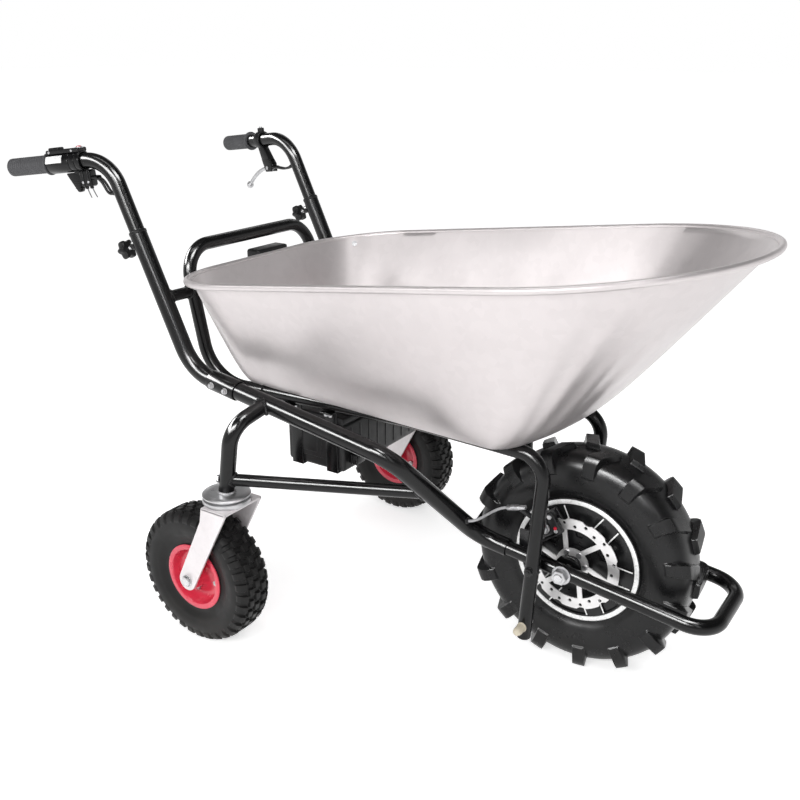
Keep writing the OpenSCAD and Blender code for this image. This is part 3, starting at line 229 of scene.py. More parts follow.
def spin(profile: Sequence[Sequence[float]], at: Sequence[float], axis: Sequence[float], segments: int,
         closed: bool = False) -> Surface:
    """Turned shape from a profile of radius and place along the axis.

    Args:
        profile: pairs of radius and place along the axis.
        at: where the axis starts.
        axis: direction of the axis.
        segments: steps round the axis.
        closed: joins the profile's end to its start.
    """
    p = np.asarray(profile, float)
    a = np.linspace(0, 2 * math.pi, segments, endpoint=False)[:, None]
    h = np.broadcast_to(p[:, 1], (segments, len(p)))
    verts = np.stack([p[:, 0] * np.cos(a), p[:, 0] * np.sin(a), h], -1).reshape(-1, 3)
    return Surface(verts, grid_faces(segments, len(p), True, closed)).moved(axes_to(axis), at)


def rounded(half: Sequence[Sequence[float]], r: float) -> list[list[float]]:
    """A profile whose inner corners are cut back by up to r on each side, twice."""
    p = np.asarray(half, float)
    for share in (1.0, 0.4):
        d = np.diff(p, axis=0)
        n = np.linalg.norm(d, axis=1)[:, None]
        cut = np.minimum(r * share, n * 0.4)
        step = d / np.maximum(n, 1e-9) * cut
        inner = np.stack([p[1:-1] - step[:-1], p[1:-1] + step[1:]], 1).reshape(-1, 2)
        p = np.concatenate([p[:1], inner, p[-1:]])
    return p.tolist()


def rod(a: Sequence[float], b: Sequence[float], r: float, bevel: float = 0.0, segments: int = 32) -> Surface:
    """Closed round bar between two points, with rounded rims."""
    h = float(np.linalg.norm(np.subtract(b, a)))
    line = [[0, 0], [r, 0], [r, h], [0, h]]
    return spin(rounded(line, bevel) if bevel else line, a, np.subtract(b, a), segments)


def sweep(points: Array, radius: float | Array, sides: int, flat: float = 1.0) -> Surface:
    """Round bar along points, closed at both ends.

    Args:
        points: places along the middle line.
        radius: one radius or one for each point.
        sides: points round the bar.
        flat: how thick the bar is across, as a share of its height.
    """
    p = np.asarray(points, float)
    d = np.gradient(p, axis=0)
    d /= np.linalg.norm(d, axis=1)[:, None]
    u = np.empty_like(p)
    u[0] = axes_to(d[0])[:, 0]
    for i in range(1, len(p)):
        u[i] = unit(u[i - 1] - d[i] * (u[i - 1] @ d[i]))
    v = np.cross(d, u)
    a = np.linspace(0, 2 * math.pi, sides, endpoint=False)
    r = np.broadcast_to(np.asarray(radius, float), (len(p),))[:, None, None]
    ring = np.cos(a)[:, None] * u[:, None] + flat * np.sin(a)[:, None] * v[:, None]
    verts = (p[:, None] + r * ring).reshape(-1, 3)
    ends = [list(range(sides))[::-1], list(range((len(p) - 1) * sides, len(p) * sides))]
    return Surface(verts, grid_faces(len(p), sides, False, True) + ends)


def bent(points: Sequence[Sequence[float]], bends: Sequence[float], steps: int = 20) -> Array:
    """Middle line of a bent tube: straight runs joined by arcs.

    Args:
        points: corners of the line and its two ends.
        bends: bend radius at each inner corner.
        steps: steps in each arc.
    """
    p = [np.asarray(q, float) for q in points]
    line = [p[0][None]]
    for a, b, c, r in zip(p, p[1:], p[2:], bends):
        u, v = unit(a - b), unit(c - b)
        half = math.acos(float(u @ v)) / 2
        centre = b + unit(u + v) * r / math.sin(half)
        x = unit(b + u * r / math.tan(half) - centre)
        t = np.linspace(0, math.pi - 2 * half, steps)[:, None]
        line.append(centre + r * (np.cos(t) * x - np.sin(t) * u))
    line.append(p[-1][None])
    full = np.concatenate(line)
    gap = np.linalg.norm(np.diff(full, axis=0), axis=1)
    extra = [np.linspace(full[i], full[i + 1], max(2, int(g // 40) + 2))[:-1] for i, g in enumerate(gap)]
    return np.concatenate(extra + [full[-1:]])


def from_bmesh(bm: bmesh.types.BMesh) -> Surface:
    """Takes the shape out of an editing mesh and frees it."""
    bm.verts.index_update()
    verts = np.array([v.co[:] for v in bm.verts])
    faces = [[v.index for v in f.verts] for f in bm.faces]
    bm.free()
    return Surface(verts, faces)


def block(size: Sequence[float], at: Sequence[float], bevel: float, steps: int = 3) -> Surface:
    """Box round a point, with rounded edges."""
    bm = bmesh.new()
    bmesh.ops.create_cube(bm, size=1.0, matrix=Matrix.Diagonal((*size, 1.0)))
    bmesh.ops.bevel(bm, geom=list(bm.edges), offset=bevel, segments=steps, profile=0.5, affect="EDGES")
    return from_bmesh(bm).moved(None, at)


def plate(outline: Sequence[Sequence[float]], thick: float, bevel: float) -> Surface:
    """Flat plate from an outline in X and Z, centred on Y, with rounded edges."""
    bm = bmesh.new()
    near, far = ([bm.verts.new((x, y, z)) for x, z in outline] for y in (-thick / 2, thick / 2))
    bm.faces.new(near)
    bm.faces.new(far[::-1])
    for a, b, c, d in zip(near, far, far[1:] + far[:1], near[1:] + near[:1]):
        bm.faces.new((a, b, c, d))
    bmesh.ops.recalc_face_normals(bm, faces=bm.faces)
    bmesh.ops.bevel(bm, geom=list(bm.edges), offset=bevel, segments=2, profile=0.5, affect="EDGES")
    return from_bmesh(bm)


def turned(profile: Sequence[Sequence[float]], soft: float, at: Sequence[float], axis: Sequence[float],
           segments: int) -> Surface:
    """Turned ring whose profile runs back to its start, with softened corners."""
    return spin(rounded(profile, soft), at, axis, segments, closed=True)


def hexagon(at: Sequence[float], axis: Sequence[float], r: float, h: float) -> Surface:
    """Hexagon head with chamfered rim."""
    line = [[0, 0], [r, 0], [r, h * 0.8], [r * 0.86, h], [0, h]]
    return spin(line, at, axis, 6)


def washer(bore: float, r: float, h: float, at: Sequence[float], axis: Sequence[float]) -> Surface:
    """Flat ring with softened rims, standing on a point along an axis."""
    line = [[bore, 0], [r, 0], [r, h], [bore, h], [bore, 0]]
    return turned(line, min(0.4, h * 0.3), at, axis, 32)


def copies(shape: Surface, turns: Array, centre: Sequence[float]) -> Surface:
    """Copies of a shape turned about a centre."""
    c = np.asarray(centre, float)
    verts = np.einsum("kij,nj->kni", turns, shape.verts - c) + c
    n = len(shape.verts)
    faces = [[i + k * n for i in f] for k in range(len(turns)) for f in shape.faces]
    return Surface(verts.reshape(-1, 3), faces)


def tube(points: Array, r: float, bore: float, sides: int = 40) -> Surface:
    """Hollow round tube along a middle line, with open ends.

    Args:
        points: places along the middle line.
        r: outer radius.
        bore: inner radius.
        sides: points round the tube.

    Returns:
        Outer and inner skins joined by a flat ring at each end.
    """
    n = len(points)
    outer, inner = sweep(points, r, sides), sweep(points, bore, sides)
    skins = merge([Surface(s.verts, s.faces[:-2]) for s in (outer, inner)])
    k = np.arange(sides)
    ends = [np.stack([o + k, o + (k + 1) % sides, o + n * sides + (k + 1) % sides, o + n * sides + k], 1)
            for o in (0, (n - 1) * sides)]
    return Surface(skins.verts, skins.faces + np.concatenate(ends).tolist())


def ring_bead(points: Array, radius: Array, sides: int = 10) -> Surface:
    """Round bead along a closed line, such as a weld, with a radius for each point."""
    d = np.roll(points, -1, 0) - np.roll(points, 1, 0)
    d /= np.linalg.norm(d, axis=1)[:, None]
    out = points - points.mean(0)
    u = out - d * np.sum(out * d, 1)[:, None]
    u /= np.linalg.norm(u, axis=1)[:, None]
    v = np.cross(d, u)
    a = np.linspace(0, 2 * math.pi, sides, endpoint=False)[:, None]
    verts = points[:, None] + radius[:, None, None] * (np.cos(a) * u[:, None] + np.sin(a) * v[:, None])
    return Surface(verts.reshape(-1, 3), grid_faces(len(points), sides, True, True))


def weld(start: Array, toward: Array, r: float, line: Array, way: Array, carrier_r: float,
         bead: float = 2.6) -> Surface:
    """Weld bead where a tube leaves the side of another one.

    The bead follows the line where the two cylinders meet: each point of the tube's ring runs along
    the tube until it is the carrier's radius away from the carrier's middle line.

    Args:
        start: the tube's end, on the carrier's middle line.
        toward: another point of the tube's middle line.
        r: the tube's radius.
        line: a point of the carrier's middle line.
        way: direction of that line.
        carrier_r: the carrier's radius.
        bead: radius of the bead.

    Returns:
        A rippled ring.
    """
    a = WELD_RING
    turn, way = axes_to(np.subtract(toward, start)), unit(way)
    d = turn[:, 2]
    p = np.asarray(start) + r * (np.cos(a)[:, None] * turn[:, 0] + np.sin(a)[:, None] * turn[:, 1])
    q = p - line
    q = q - (q @ way)[:, None] * way
    e = d - (d @ way) * way
    b = q @ e
    root = np.sqrt(np.maximum(b * b - (e @ e) * (np.sum(q * q, 1) - carrier_r**2), 0))
    points = p + ((root - b) / (e @ e))[:, None] * d
    return ring_bead(points, bead * (1 + 0.14 * np.sin(30 * a) + 0.06 * np.sin(17 * a)))


class Effect(Enum):
    """Shader node groups that several finishes share."""

    TONE = "tone_drift"
    SHEEN = "sheen_drift"
    GRAIN = "surface_grain"
    WEAR = "edge_wear"
    DUST = "ground_dust"
    SPANGLE = "zinc_spangle"


class EffectGroups:
    """Builds each shared shader effect once, as a node group with named sockets."""

    def __init__(self) -> None:
        """Makes all the groups."""
        self.trees: dict[Effect, bpy.types.NodeTree] = {}
        for make in (self._tone, self._sheen, self._grain, self._wear, self._dust, self._spangle):
            make()

    def _start(self, effect: Effect, inputs: dict[str, str], output: tuple[str, str]) -> tuple[Any, Any, Any]:
        """A new group with its sockets.

        Args:
            effect: which group.
            inputs: socket type for each input name.
            output: name and socket type of the output.

        Returns:
            The tree, its input node and its output node.
        """
        tree = bpy.data.node_groups.new(effect.value, "ShaderNodeTree")
        for name, kind in inputs.items():
            tree.interface.new_socket(name=name, in_out="INPUT", socket_type=f"NodeSocket{kind}")
        tree.interface.new_socket(name=output[0], in_out="OUTPUT", socket_type=f"NodeSocket{output[1]}")
        self.trees[effect] = tree
        return tree, tree.nodes.new("NodeGroupInput"), tree.nodes.new("NodeGroupOutput")

    @staticmethod
    def feed(tree: Any, value: Any, into: Any) -> None:
        """Links a socket to an input, or sets the input to a number."""
        if isinstance(value, bpy.types.NodeSocket):
            tree.links.new(value, into)
        else:
            into.default_value = value

    @staticmethod
    def noise(tree: Any, source: Any, scale: Any, detail: float = 2.0) -> Any:
        """A noise node read at a scale.

        Args:
            tree: where the node goes.
            source: socket of the coordinates.
            scale: socket or number of the scale.
            detail: octaves.

        Returns:
            The socket of the noise's value.
        """
        node = tree.nodes.new("ShaderNodeTexNoise")
        node.inputs["Detail"].default_value = detail
        EffectGroups.feed(tree, source, node.inputs["Vector"])
        EffectGroups.feed(tree, scale, node.inputs["Scale"])
        return node.outputs[0]

    @staticmethod
    def spread(tree: Any, value: Any, low: Any, high: Any, lo_in: float, hi_in: float) -> Any:
        """Maps a value from one range to another.

        Args:
            tree: where the node goes.
            value: socket of the value.
            low: socket or number at the low end.
            high: socket or number at the high end.
            lo_in: start of the value's range.
            hi_in: end of the value's range.

        Returns:
            The socket of the mapped value.
        """
        node = tree.nodes.new("ShaderNodeMapRange")
        for name, given in (("Value", value), ("From Min", lo_in), ("From Max", hi_in), ("To Min", low),
                            ("To Max", high)):
            EffectGroups.feed(tree, given, node.inputs[name])
        return node.outputs[0]

    @staticmethod
    def math(tree: Any, operation: str, a: Any, b: Any) -> Any:
        """One sum of two sockets or numbers, as a socket."""
        node = tree.nodes.new("ShaderNodeMath")
        node.operation = operation
        for value, into in zip((a, b), node.inputs):
            EffectGroups.feed(tree, value, into)
        return node.outputs[0]

    @staticmethod
    def scaled(tree: Any, color: Any, gain: Any) -> Any:
        """A colour times a gain, as a socket."""
        node = tree.nodes.new("ShaderNodeVectorMath")
        node.operation = "SCALE"
        tree.links.new(color, node.inputs[0])
        tree.links.new(gain, node.inputs["Scale"])
        return node.outputs[0]

    def _tone(self) -> None:
        """Colour that drifts lighter and darker in cloudy patches."""
        tree, i, o = self._start(
            Effect.TONE, {"Vector": "Vector", "Color": "Color", "Scale": "Float", "Amount": "Float"},
            ("Color", "Color"))
        cloud = self.noise(tree, i.outputs["Vector"], i.outputs["Scale"], 4.0)
        low, high = (self.math(tree, sign, 1.0, i.outputs["Amount"]) for sign in ("SUBTRACT", "ADD"))
        gain = self.spread(tree, cloud, low, high, 0.3, 0.7)
        tree.links.new(self.scaled(tree, i.outputs["Color"], gain), o.inputs["Color"])

    def _sheen(self) -> None:
        """Roughness that drifts between two values."""
        tree, i, o = self._start(
            Effect.SHEEN, {"Vector": "Vector", "Scale": "Float", "Low": "Float", "High": "Float"},
            ("Roughness", "Float"))
        cloud = self.noise(tree, i.outputs["Vector"], i.outputs["Scale"], 5.0)
        value = self.spread(tree, cloud, i.outputs["Low"], i.outputs["High"], 0.32, 0.68)
        tree.links.new(value, o.inputs["Roughness"])

    def _grain(self) -> None:
        """Fine relief of a surface."""
        tree, i, o = self._start(
            Effect.GRAIN, {"Vector": "Vector", "Scale": "Float", "Strength": "Float", "Depth": "Float"},
            ("Normal", "Vector"))
        relief = self.noise(tree, i.outputs["Vector"], i.outputs["Scale"], 3.0)
        bump = tree.nodes.new("ShaderNodeBump")
        for source, name in ((relief, "Height"), (i.outputs["Strength"], "Strength"),
                             (i.outputs["Depth"], "Distance")):
            tree.links.new(source, bump.inputs[name])
        tree.links.new(bump.outputs[0], o.inputs["Normal"])

    def _mask(self, tree: Any, i: Any, o: Any, where: Any, patch: Any) -> None:
        """Ends a group with the product of a mask, its patches and its amount."""
        broken = self.math(tree, "MULTIPLY", where, patch)
        tree.links.new(self.math(tree, "MULTIPLY", broken, i.outputs["Amount"]), o.inputs["Mask"])

    def _wear(self) -> None:
        """Mask of rubbed edges: where a rounded normal leaves the true one, broken up by noise."""
        tree, i, o = self._start(
            Effect.WEAR, {"Vector": "Vector", "Radius": "Float", "Amount": "Float"}, ("Mask", "Float"))
        bevel, geometry = tree.nodes.new("ShaderNodeBevel"), tree.nodes.new("ShaderNodeNewGeometry")
        bevel.samples = 6
        tree.links.new(i.outputs["Radius"], bevel.inputs["Radius"])
        dot = tree.nodes.new("ShaderNodeVectorMath")
        dot.operation = "DOT_PRODUCT"
        tree.links.new(bevel.outputs[0], dot.inputs[0])
        tree.links.new(geometry.outputs["Normal"], dot.inputs[1])
        edge = self.spread(tree, dot.outputs["Value"], 1.0, 0.0, 0.8, 0.995)
        grain = self.noise(tree, i.outputs["Vector"], 160.0)
        self._mask(tree, i, o, edge, self.spread(tree, grain, 0.0, 1.0, 0.42, 0.62))

    def _dust(self) -> None:
        """Mask of dust that thins out with height over the ground."""
        tree, i, o = self._start(
            Effect.DUST, {"Vector": "Vector", "Height": "Float", "Amount": "Float"}, ("Mask", "Float"))
        split = tree.nodes.new("ShaderNodeSeparateXYZ")
        tree.links.new(i.outputs["Vector"], split.inputs[0])
        rise = self.math(tree, "DIVIDE", split.outputs["Z"], i.outputs["Height"])
        low = self.spread(tree, rise, 1.0, 0.0, 0.0, 1.0)
        cloud = self.noise(tree, i.outputs["Vector"], 24.0)
        self._mask(tree, i, o, low, self.spread(tree, cloud, 0.2, 1.0, 0.35, 0.7))

    def _spangle(self) -> None:
        """Crystal facets of hot-dip zinc, as a gain for the colour."""
        tree, i, o = self._start(
            Effect.SPANGLE, {"Vector": "Vector", "Color": "Color", "Scale": "Float", "Amount": "Float"},
            ("Color", "Color"))
        cells = tree.nodes.new("ShaderNodeTexVoronoi")
        tree.links.new(i.outputs["Vector"], cells.inputs["Vector"])
        tree.links.new(i.outputs["Scale"], cells.inputs["Scale"])
        split = tree.nodes.new("ShaderNodeSeparateColor")
        tree.links.new(cells.outputs["Color"], split.inputs[0])
        low = self.math(tree, "SUBTRACT", 1.0, i.outputs["Amount"])
        gain = self.spread(tree, split.outputs[0], low, 1.0, 0.0, 1.0)
        tree.links.new(self.scaled(tree, i.outputs["Color"], gain), o.inputs["Color"])


DUST_COLOR = (0.30, 0.27, 0.23)
BARE_STEEL = (0.42, 0.42, 0.42)
RUBBED_RUBBER = (0.075, 0.073, 0.07)
RUBBED_PLASTIC = (0.09, 0.09, 0.09)


@dataclass(frozen=True)
class Finish:
    """One paint, metal, rubber or plastic.

    Args:
        name: the material's name.
        slot: the record's material slot that it stands for.
        color: linear base colour.
        metallic: 0 for paint, rubber and plastic, 1 for bare metal.
        rough: lowest and highest roughness.
        specular: specular level of what isn't metal.
        coat: weight of the clear coat.
        tone: scale and amount of the colour's drift.
        grain: scale, strength and depth in metres of the relief.
        brush: stretch of the relief along X, Y and Z.
        wear: radius in metres, amount and colour of rubbed edges.
        dust: amount and height in metres of dust.
        spangle: scale and amount of zinc crystals.
    """

    name: str
    slot: str
    color: tuple[float, float, float]
    metallic: float = 0.0
    rough: tuple[float, float] = (0.35, 0.5)
    specular: float = 0.5
    coat: float = 0.0
    tone: tuple[float, float] = (9.0, 0.08)
    grain: tuple[float, float, float] = (600.0, 0.05, 0.0004)
    brush: tuple[float, float, float] = (1.0, 1.0, 1.0)
    wear: tuple[float, float, tuple[float, float, float]] | None = None
    dust: tuple[float, float] | None = None
    spangle: tuple[float, float] | None = None

    def material(self, groups: EffectGroups) -> bpy.types.Material:
        """The finish as a node material.

        Args:
            groups: the shared effects.

        Returns:
            A new material.
        """
        mat = bpy.data.materials.new(self.name)
        mat.use_nodes = True
        tree = mat.node_tree
        shader = tree.nodes["Principled BSDF"]
        shader.inputs["Metallic"].default_value = self.metallic
        shader.inputs["Specular IOR Level"].default_value = self.specular
        shader.inputs["Coat Weight"].default_value = self.coat
        shader.inputs["Coat Roughness"].default_value = COAT_ROUGH
        where = tree.nodes.new("ShaderNodeTexCoord").outputs["Object"]

        def place(effect: Effect, **values: Any) -> Any:
            """Puts a shared effect into the material and gives its output socket."""
            node = tree.nodes.new("ShaderNodeGroup")
            node.node_tree = groups.trees[effect]
            tree.links.new(where, node.inputs["Vector"])
            for name, value in values.items():
                EffectGroups.feed(tree, value, node.inputs[name])
            return node.outputs[0]

        def mixed(mask: Any, base: Any, color: tuple[float, float, float]) -> Any:
            """Lays a colour over another by a mask and gives the result's socket."""
            node = tree.nodes.new("ShaderNodeMix")
            node.data_type = "RGBA"
            tree.links.new(mask, node.inputs[0])
            tree.links.new(base, node.inputs[MIX_A])
            node.inputs[MIX_B].default_value = (*color, 1.0)
            return node.outputs[MIX_OUT]

        color = place(Effect.TONE, Color=(*self.color, 1.0), Scale=self.tone[0], Amount=self.tone[1])
        if self.spangle:
            color = place(Effect.SPANGLE, Color=color, Scale=self.spangle[0], Amount=self.spangle[1])
        if self.wear:
            mask = place(Effect.WEAR, Radius=self.wear[0], Amount=self.wear[1])
            color = mixed(mask, color, self.wear[2])
        if self.dust:
            mask = place(Effect.DUST, Amount=self.dust[0], Height=self.dust[1])
            color = mixed(mask, color, DUST_COLOR)
        tree.links.new(color, shader.inputs["Base Color"])
        sheen = place(Effect.SHEEN, Scale=self.tone[0] * SHEEN_SCALE, Low=self.rough[0], High=self.rough[1])
        tree.links.new(sheen, shader.inputs["Roughness"])
        relief = place(Effect.GRAIN, Scale=self.grain[0], Strength=self.grain[1], Depth=self.grain[2])
        if self.brush != (1.0, 1.0, 1.0):
            stretch = tree.nodes.new("ShaderNodeMapping")
            stretch.inputs["Scale"].default_value = self.brush
            tree.links.new(where, stretch.inputs["Vector"])
            tree.links.new(stretch.outputs[0], relief.node.inputs["Vector"])
        tree.links.new(relief, shader.inputs["Normal"])
        return mat


class Coat(Enum):
    """The barrow's finishes."""

    TRAY = Finish("galvanised_sheet", "galvanised", (0.610, 0.572, 0.574), 0.72, (0.32, 0.42),
                  tone=(3.0, 0.05), grain=(320.0, 0.03, 0.0003), spangle=(75.0, 0.04),
                  wear=(0.002, 0.12, (0.72, 0.70, 0.69)))
    FRAME = Finish("gloss_black_paint", "frame_black", (0.0028, 0.0028, 0.0031), rough=(0.16, 0.24),
                   specular=0.28, tone=(6.0, 0.25), grain=(420.0, 0.025, 0.0004), dust=(0.02, 0.12))
    WELD = Finish("painted_weld", "frame_black", (0.006, 0.006, 0.0065), rough=(0.24, 0.36), specular=0.36,
                  grain=(700.0, 0.1, 0.0004))
    ZINC = Finish("bright_zinc", "zinc", (0.50, 0.50, 0.51), 0.9, (0.26, 0.42), tone=(18.0, 0.12),
                  grain=(500.0, 0.05, 0.0004), spangle=(160.0, 0.06), wear=(0.0015, 0.5, (0.75, 0.74, 0.72)))
    FORK = Finish("pale_zinc", "zinc", (0.76, 0.725, 0.735), 0.4, (0.34, 0.48), tone=(14.0, 0.05),
                  grain=(500.0, 0.05, 0.0004), spangle=(120.0, 0.04), wear=(0.0015, 0.3, (0.86, 0.85, 0.84)))
    TYRE = Finish("front_tyre_rubber", "tyre", (0.0062, 0.0062, 0.0066), rough=(0.24, 0.34), specular=0.26,
                  tone=(14.0, 0.2), grain=(900.0, 0.12, 0.0005), wear=(0.003, 0.12, RUBBED_RUBBER),
                  dust=(0.03, 0.09))
    SMALL_TYRE = Finish("caster_tyre_rubber", "tyre", (0.0105, 0.0102, 0.0102), rough=(0.38, 0.52),
                        specular=0.2, tone=(18.0, 0.2), grain=(1000.0, 0.14, 0.0005),
                        wear=(0.002, 0.3, RUBBED_RUBBER), dust=(0.07, 0.08))
    RED_RIM = Finish("red_paint", "red_paint", (0.70, 0.040, 0.080), rough=(0.18, 0.30), coat=0.3,
                     tone=(12.0, 0.1), grain=(400.0, 0.03, 0.0004), wear=(0.0012, 0.25, BARE_STEEL))
    RED_PLASTIC = Finish("red_plastic", "red_plastic", (0.60, 0.012, 0.035), rough=(0.25, 0.36),
                         grain=(1500.0, 0.06, 0.0003))
    DISC = Finish("brushed_disc_steel", "disc_steel", (0.74, 0.73, 0.73), 0.7, (0.28, 0.38),
                  tone=(30.0, 0.08), grain=(300.0, 0.08, 0.0002), brush=(6.0, 1.0, 6.0),
                  wear=(0.001, 0.4, (0.8, 0.8, 0.8)))
    CAST = Finish("cast_aluminium", "cast_aluminium", (0.50, 0.50, 0.51), 0.9, (0.34, 0.48),
                  tone=(40.0, 0.14), grain=(1300.0, 0.2, 0.0004), wear=(0.0012, 0.5, (0.68, 0.68, 0.68)))
    CALIPER = Finish("black_cast_caliper", "cast_aluminium", (0.010, 0.010, 0.011), rough=(0.24, 0.36),
                     specular=0.4, tone=(40.0, 0.14), grain=(1300.0, 0.2, 0.0004),
                     wear=(0.0016, 0.9, (0.62, 0.62, 0.62)))
    FRICTION = Finish("brake_lining", "friction", (0.10, 0.055, 0.03), rough=(0.75, 0.9), tone=(80.0, 0.3),
                      grain=(1200.0, 0.3, 0.0006))
    CABLE = Finish("black_cable", "cable", (0.007, 0.007, 0.0075), rough=(0.38, 0.5),
                   grain=(1400.0, 0.06, 0.0003))
    GREY_CABLE = Finish("grey_cable", "cable", (0.40, 0.40, 0.41), rough=(0.32, 0.45),
                        grain=(1400.0, 0.06, 0.0003))
    STEEL = Finish("bearing_steel", "bearing_steel", (0.55, 0.55, 0.56), 1.0, (0.22, 0.34),
                   tone=(50.0, 0.1), grain=(700.0, 0.05, 0.0003))
    COPPER = Finish("wound_copper", "copper", (0.55, 0.22, 0.09), 1.0, (0.3, 0.45), tone=(60.0, 0.2),
                    grain=(900.0, 0.2, 0.0005), brush=(1.0, 8.0, 1.0))
    RIM_BLACK = Finish("rim_black", "rim_aluminium", (0.006, 0.006, 0.0065), rough=(0.2, 0.32), specular=0.4,
                       grain=(500.0, 0.04, 0.0004), wear=(0.001, 0.3, BARE_STEEL))
    MACHINED = Finish("machined_aluminium", "rim_aluminium", (0.92, 0.92, 0.915), 0.2, (0.24, 0.34),
                      tone=(40.0, 0.05), grain=(300.0, 0.05, 0.0002), brush=(5.0, 1.0, 5.0))
    HUB = Finish("hub_black", "hub_black", (0.006, 0.006, 0.0065), rough=(0.24, 0.38), specular=0.36,
                 tone=(16.0, 0.2), grain=(700.0, 0.06, 0.0004))
    PLASTIC = Finish("moulded_black_plastic", "black_plastic", (0.008, 0.008, 0.0085), rough=(0.32, 0.46),
                     specular=0.3, tone=(20.0, 0.16), grain=(1500.0, 0.14, 0.0004),
                     wear=(0.0015, 0.35, RUBBED_PLASTIC))
    GLOSS_PLASTIC = Finish("glossy_black_plastic", "black_plastic", (0.005, 0.005, 0.0055),
                           rough=(0.18, 0.28), specular=0.3, tone=(20.0, 0.15), grain=(1200.0, 0.03, 0.0003))
    TIE = Finish("grey_cable_tie", "black_plastic", (0.16, 0.16, 0.165), rough=(0.35, 0.45),
                 grain=(1500.0, 0.05, 0.0003))
    WRAP = Finish("blue_cell_wrap", "blue_wrap", (0.03, 0.10, 0.30), rough=(0.25, 0.4), tone=(30.0, 0.15),
                  grain=(300.0, 0.1, 0.0005))
    GRIP = Finish("grip_rubber", "grip_rubber", (0.060, 0.060, 0.064), rough=(0.5, 0.66), tone=(30.0, 0.15),
                  grain=(1600.0, 0.2, 0.0004))
    CREAM = Finish("cream_cap", "zinc", (0.62, 0.56, 0.44), rough=(0.32, 0.42), grain=(900.0, 0.05, 0.0003))


class Shop:
    """Makes pieces: puts a surface into a mesh, dresses it and fixes it to its body.

    Args:
        place: how millimetres turn into the part's frame.
        groups: the shared shader effects.
    """

    def __init__(self, place: Place, groups: EffectGroups) -> None:
        """Starts with no materials and no pieces."""
        self.place, self.groups = place, groups
        self.materials: dict[Coat, bpy.types.Material] = {}
        self.count = 0
        self.glossy = {name: bpy.data.collections.new(name) for name in ("black", "tray")}

    def material(self, coat: Coat) -> bpy.types.Material:
        """The coat's material, made once."""
        if coat not in self.materials:
            self.materials[coat] = coat.value.material(self.groups)
        return self.materials[coat]

    def add(self, name: str, shape: Surface | Sequence[Surface], coat: Coat, body: str,
            stands_for: Sequence[str] = (), smooth: float = 38.0) -> bpy.types.Object:
        """Makes one piece.

        Args:
            name: the piece's name.
            shape: one surface or several, in millimetres.
            coat: its finish.
            body: the body that it moves with.
            stands_for: CAD nodes that it replaces.
            smooth: edges sharper than this many degrees stay sharp.

        Returns:
            The new object, at the origin.
        """
        whole = shape if isinstance(shape, Surface) else merge(shape)
        mesh = bpy.data.meshes.new(name)
        mesh.from_pydata(self.place.row(whole.verts).tolist(), [], whole.faces)
        bm = bmesh.new()
        bm.from_mesh(mesh)
        bmesh.ops.remove_doubles(bm, verts=bm.verts, dist=MERGE_GAP)
        bmesh.ops.recalc_face_normals(bm, faces=bm.faces)
        bm.to_mesh(mesh)
        bm.free()
        mesh.shade_smooth()
        mesh.set_sharp_from_angle(angle=math.radians(smooth))
        mesh.materials.append(self.material(coat))
        obj = bpy.data.objects.new(name, mesh)
        bpy.context.scene.collection.objects.link(obj)
        if coat in (Coat.FRAME, Coat.TYRE, Coat.TRAY):
            self.glossy["tray" if coat is Coat.TRAY else "black"].objects.link(obj)
        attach(obj, body)
        if stands_for:
            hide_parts(*stands_for)
        self.count += 1
        LOG.info("%s: %d faces on %s", name, len(mesh.polygons), body)
        return obj


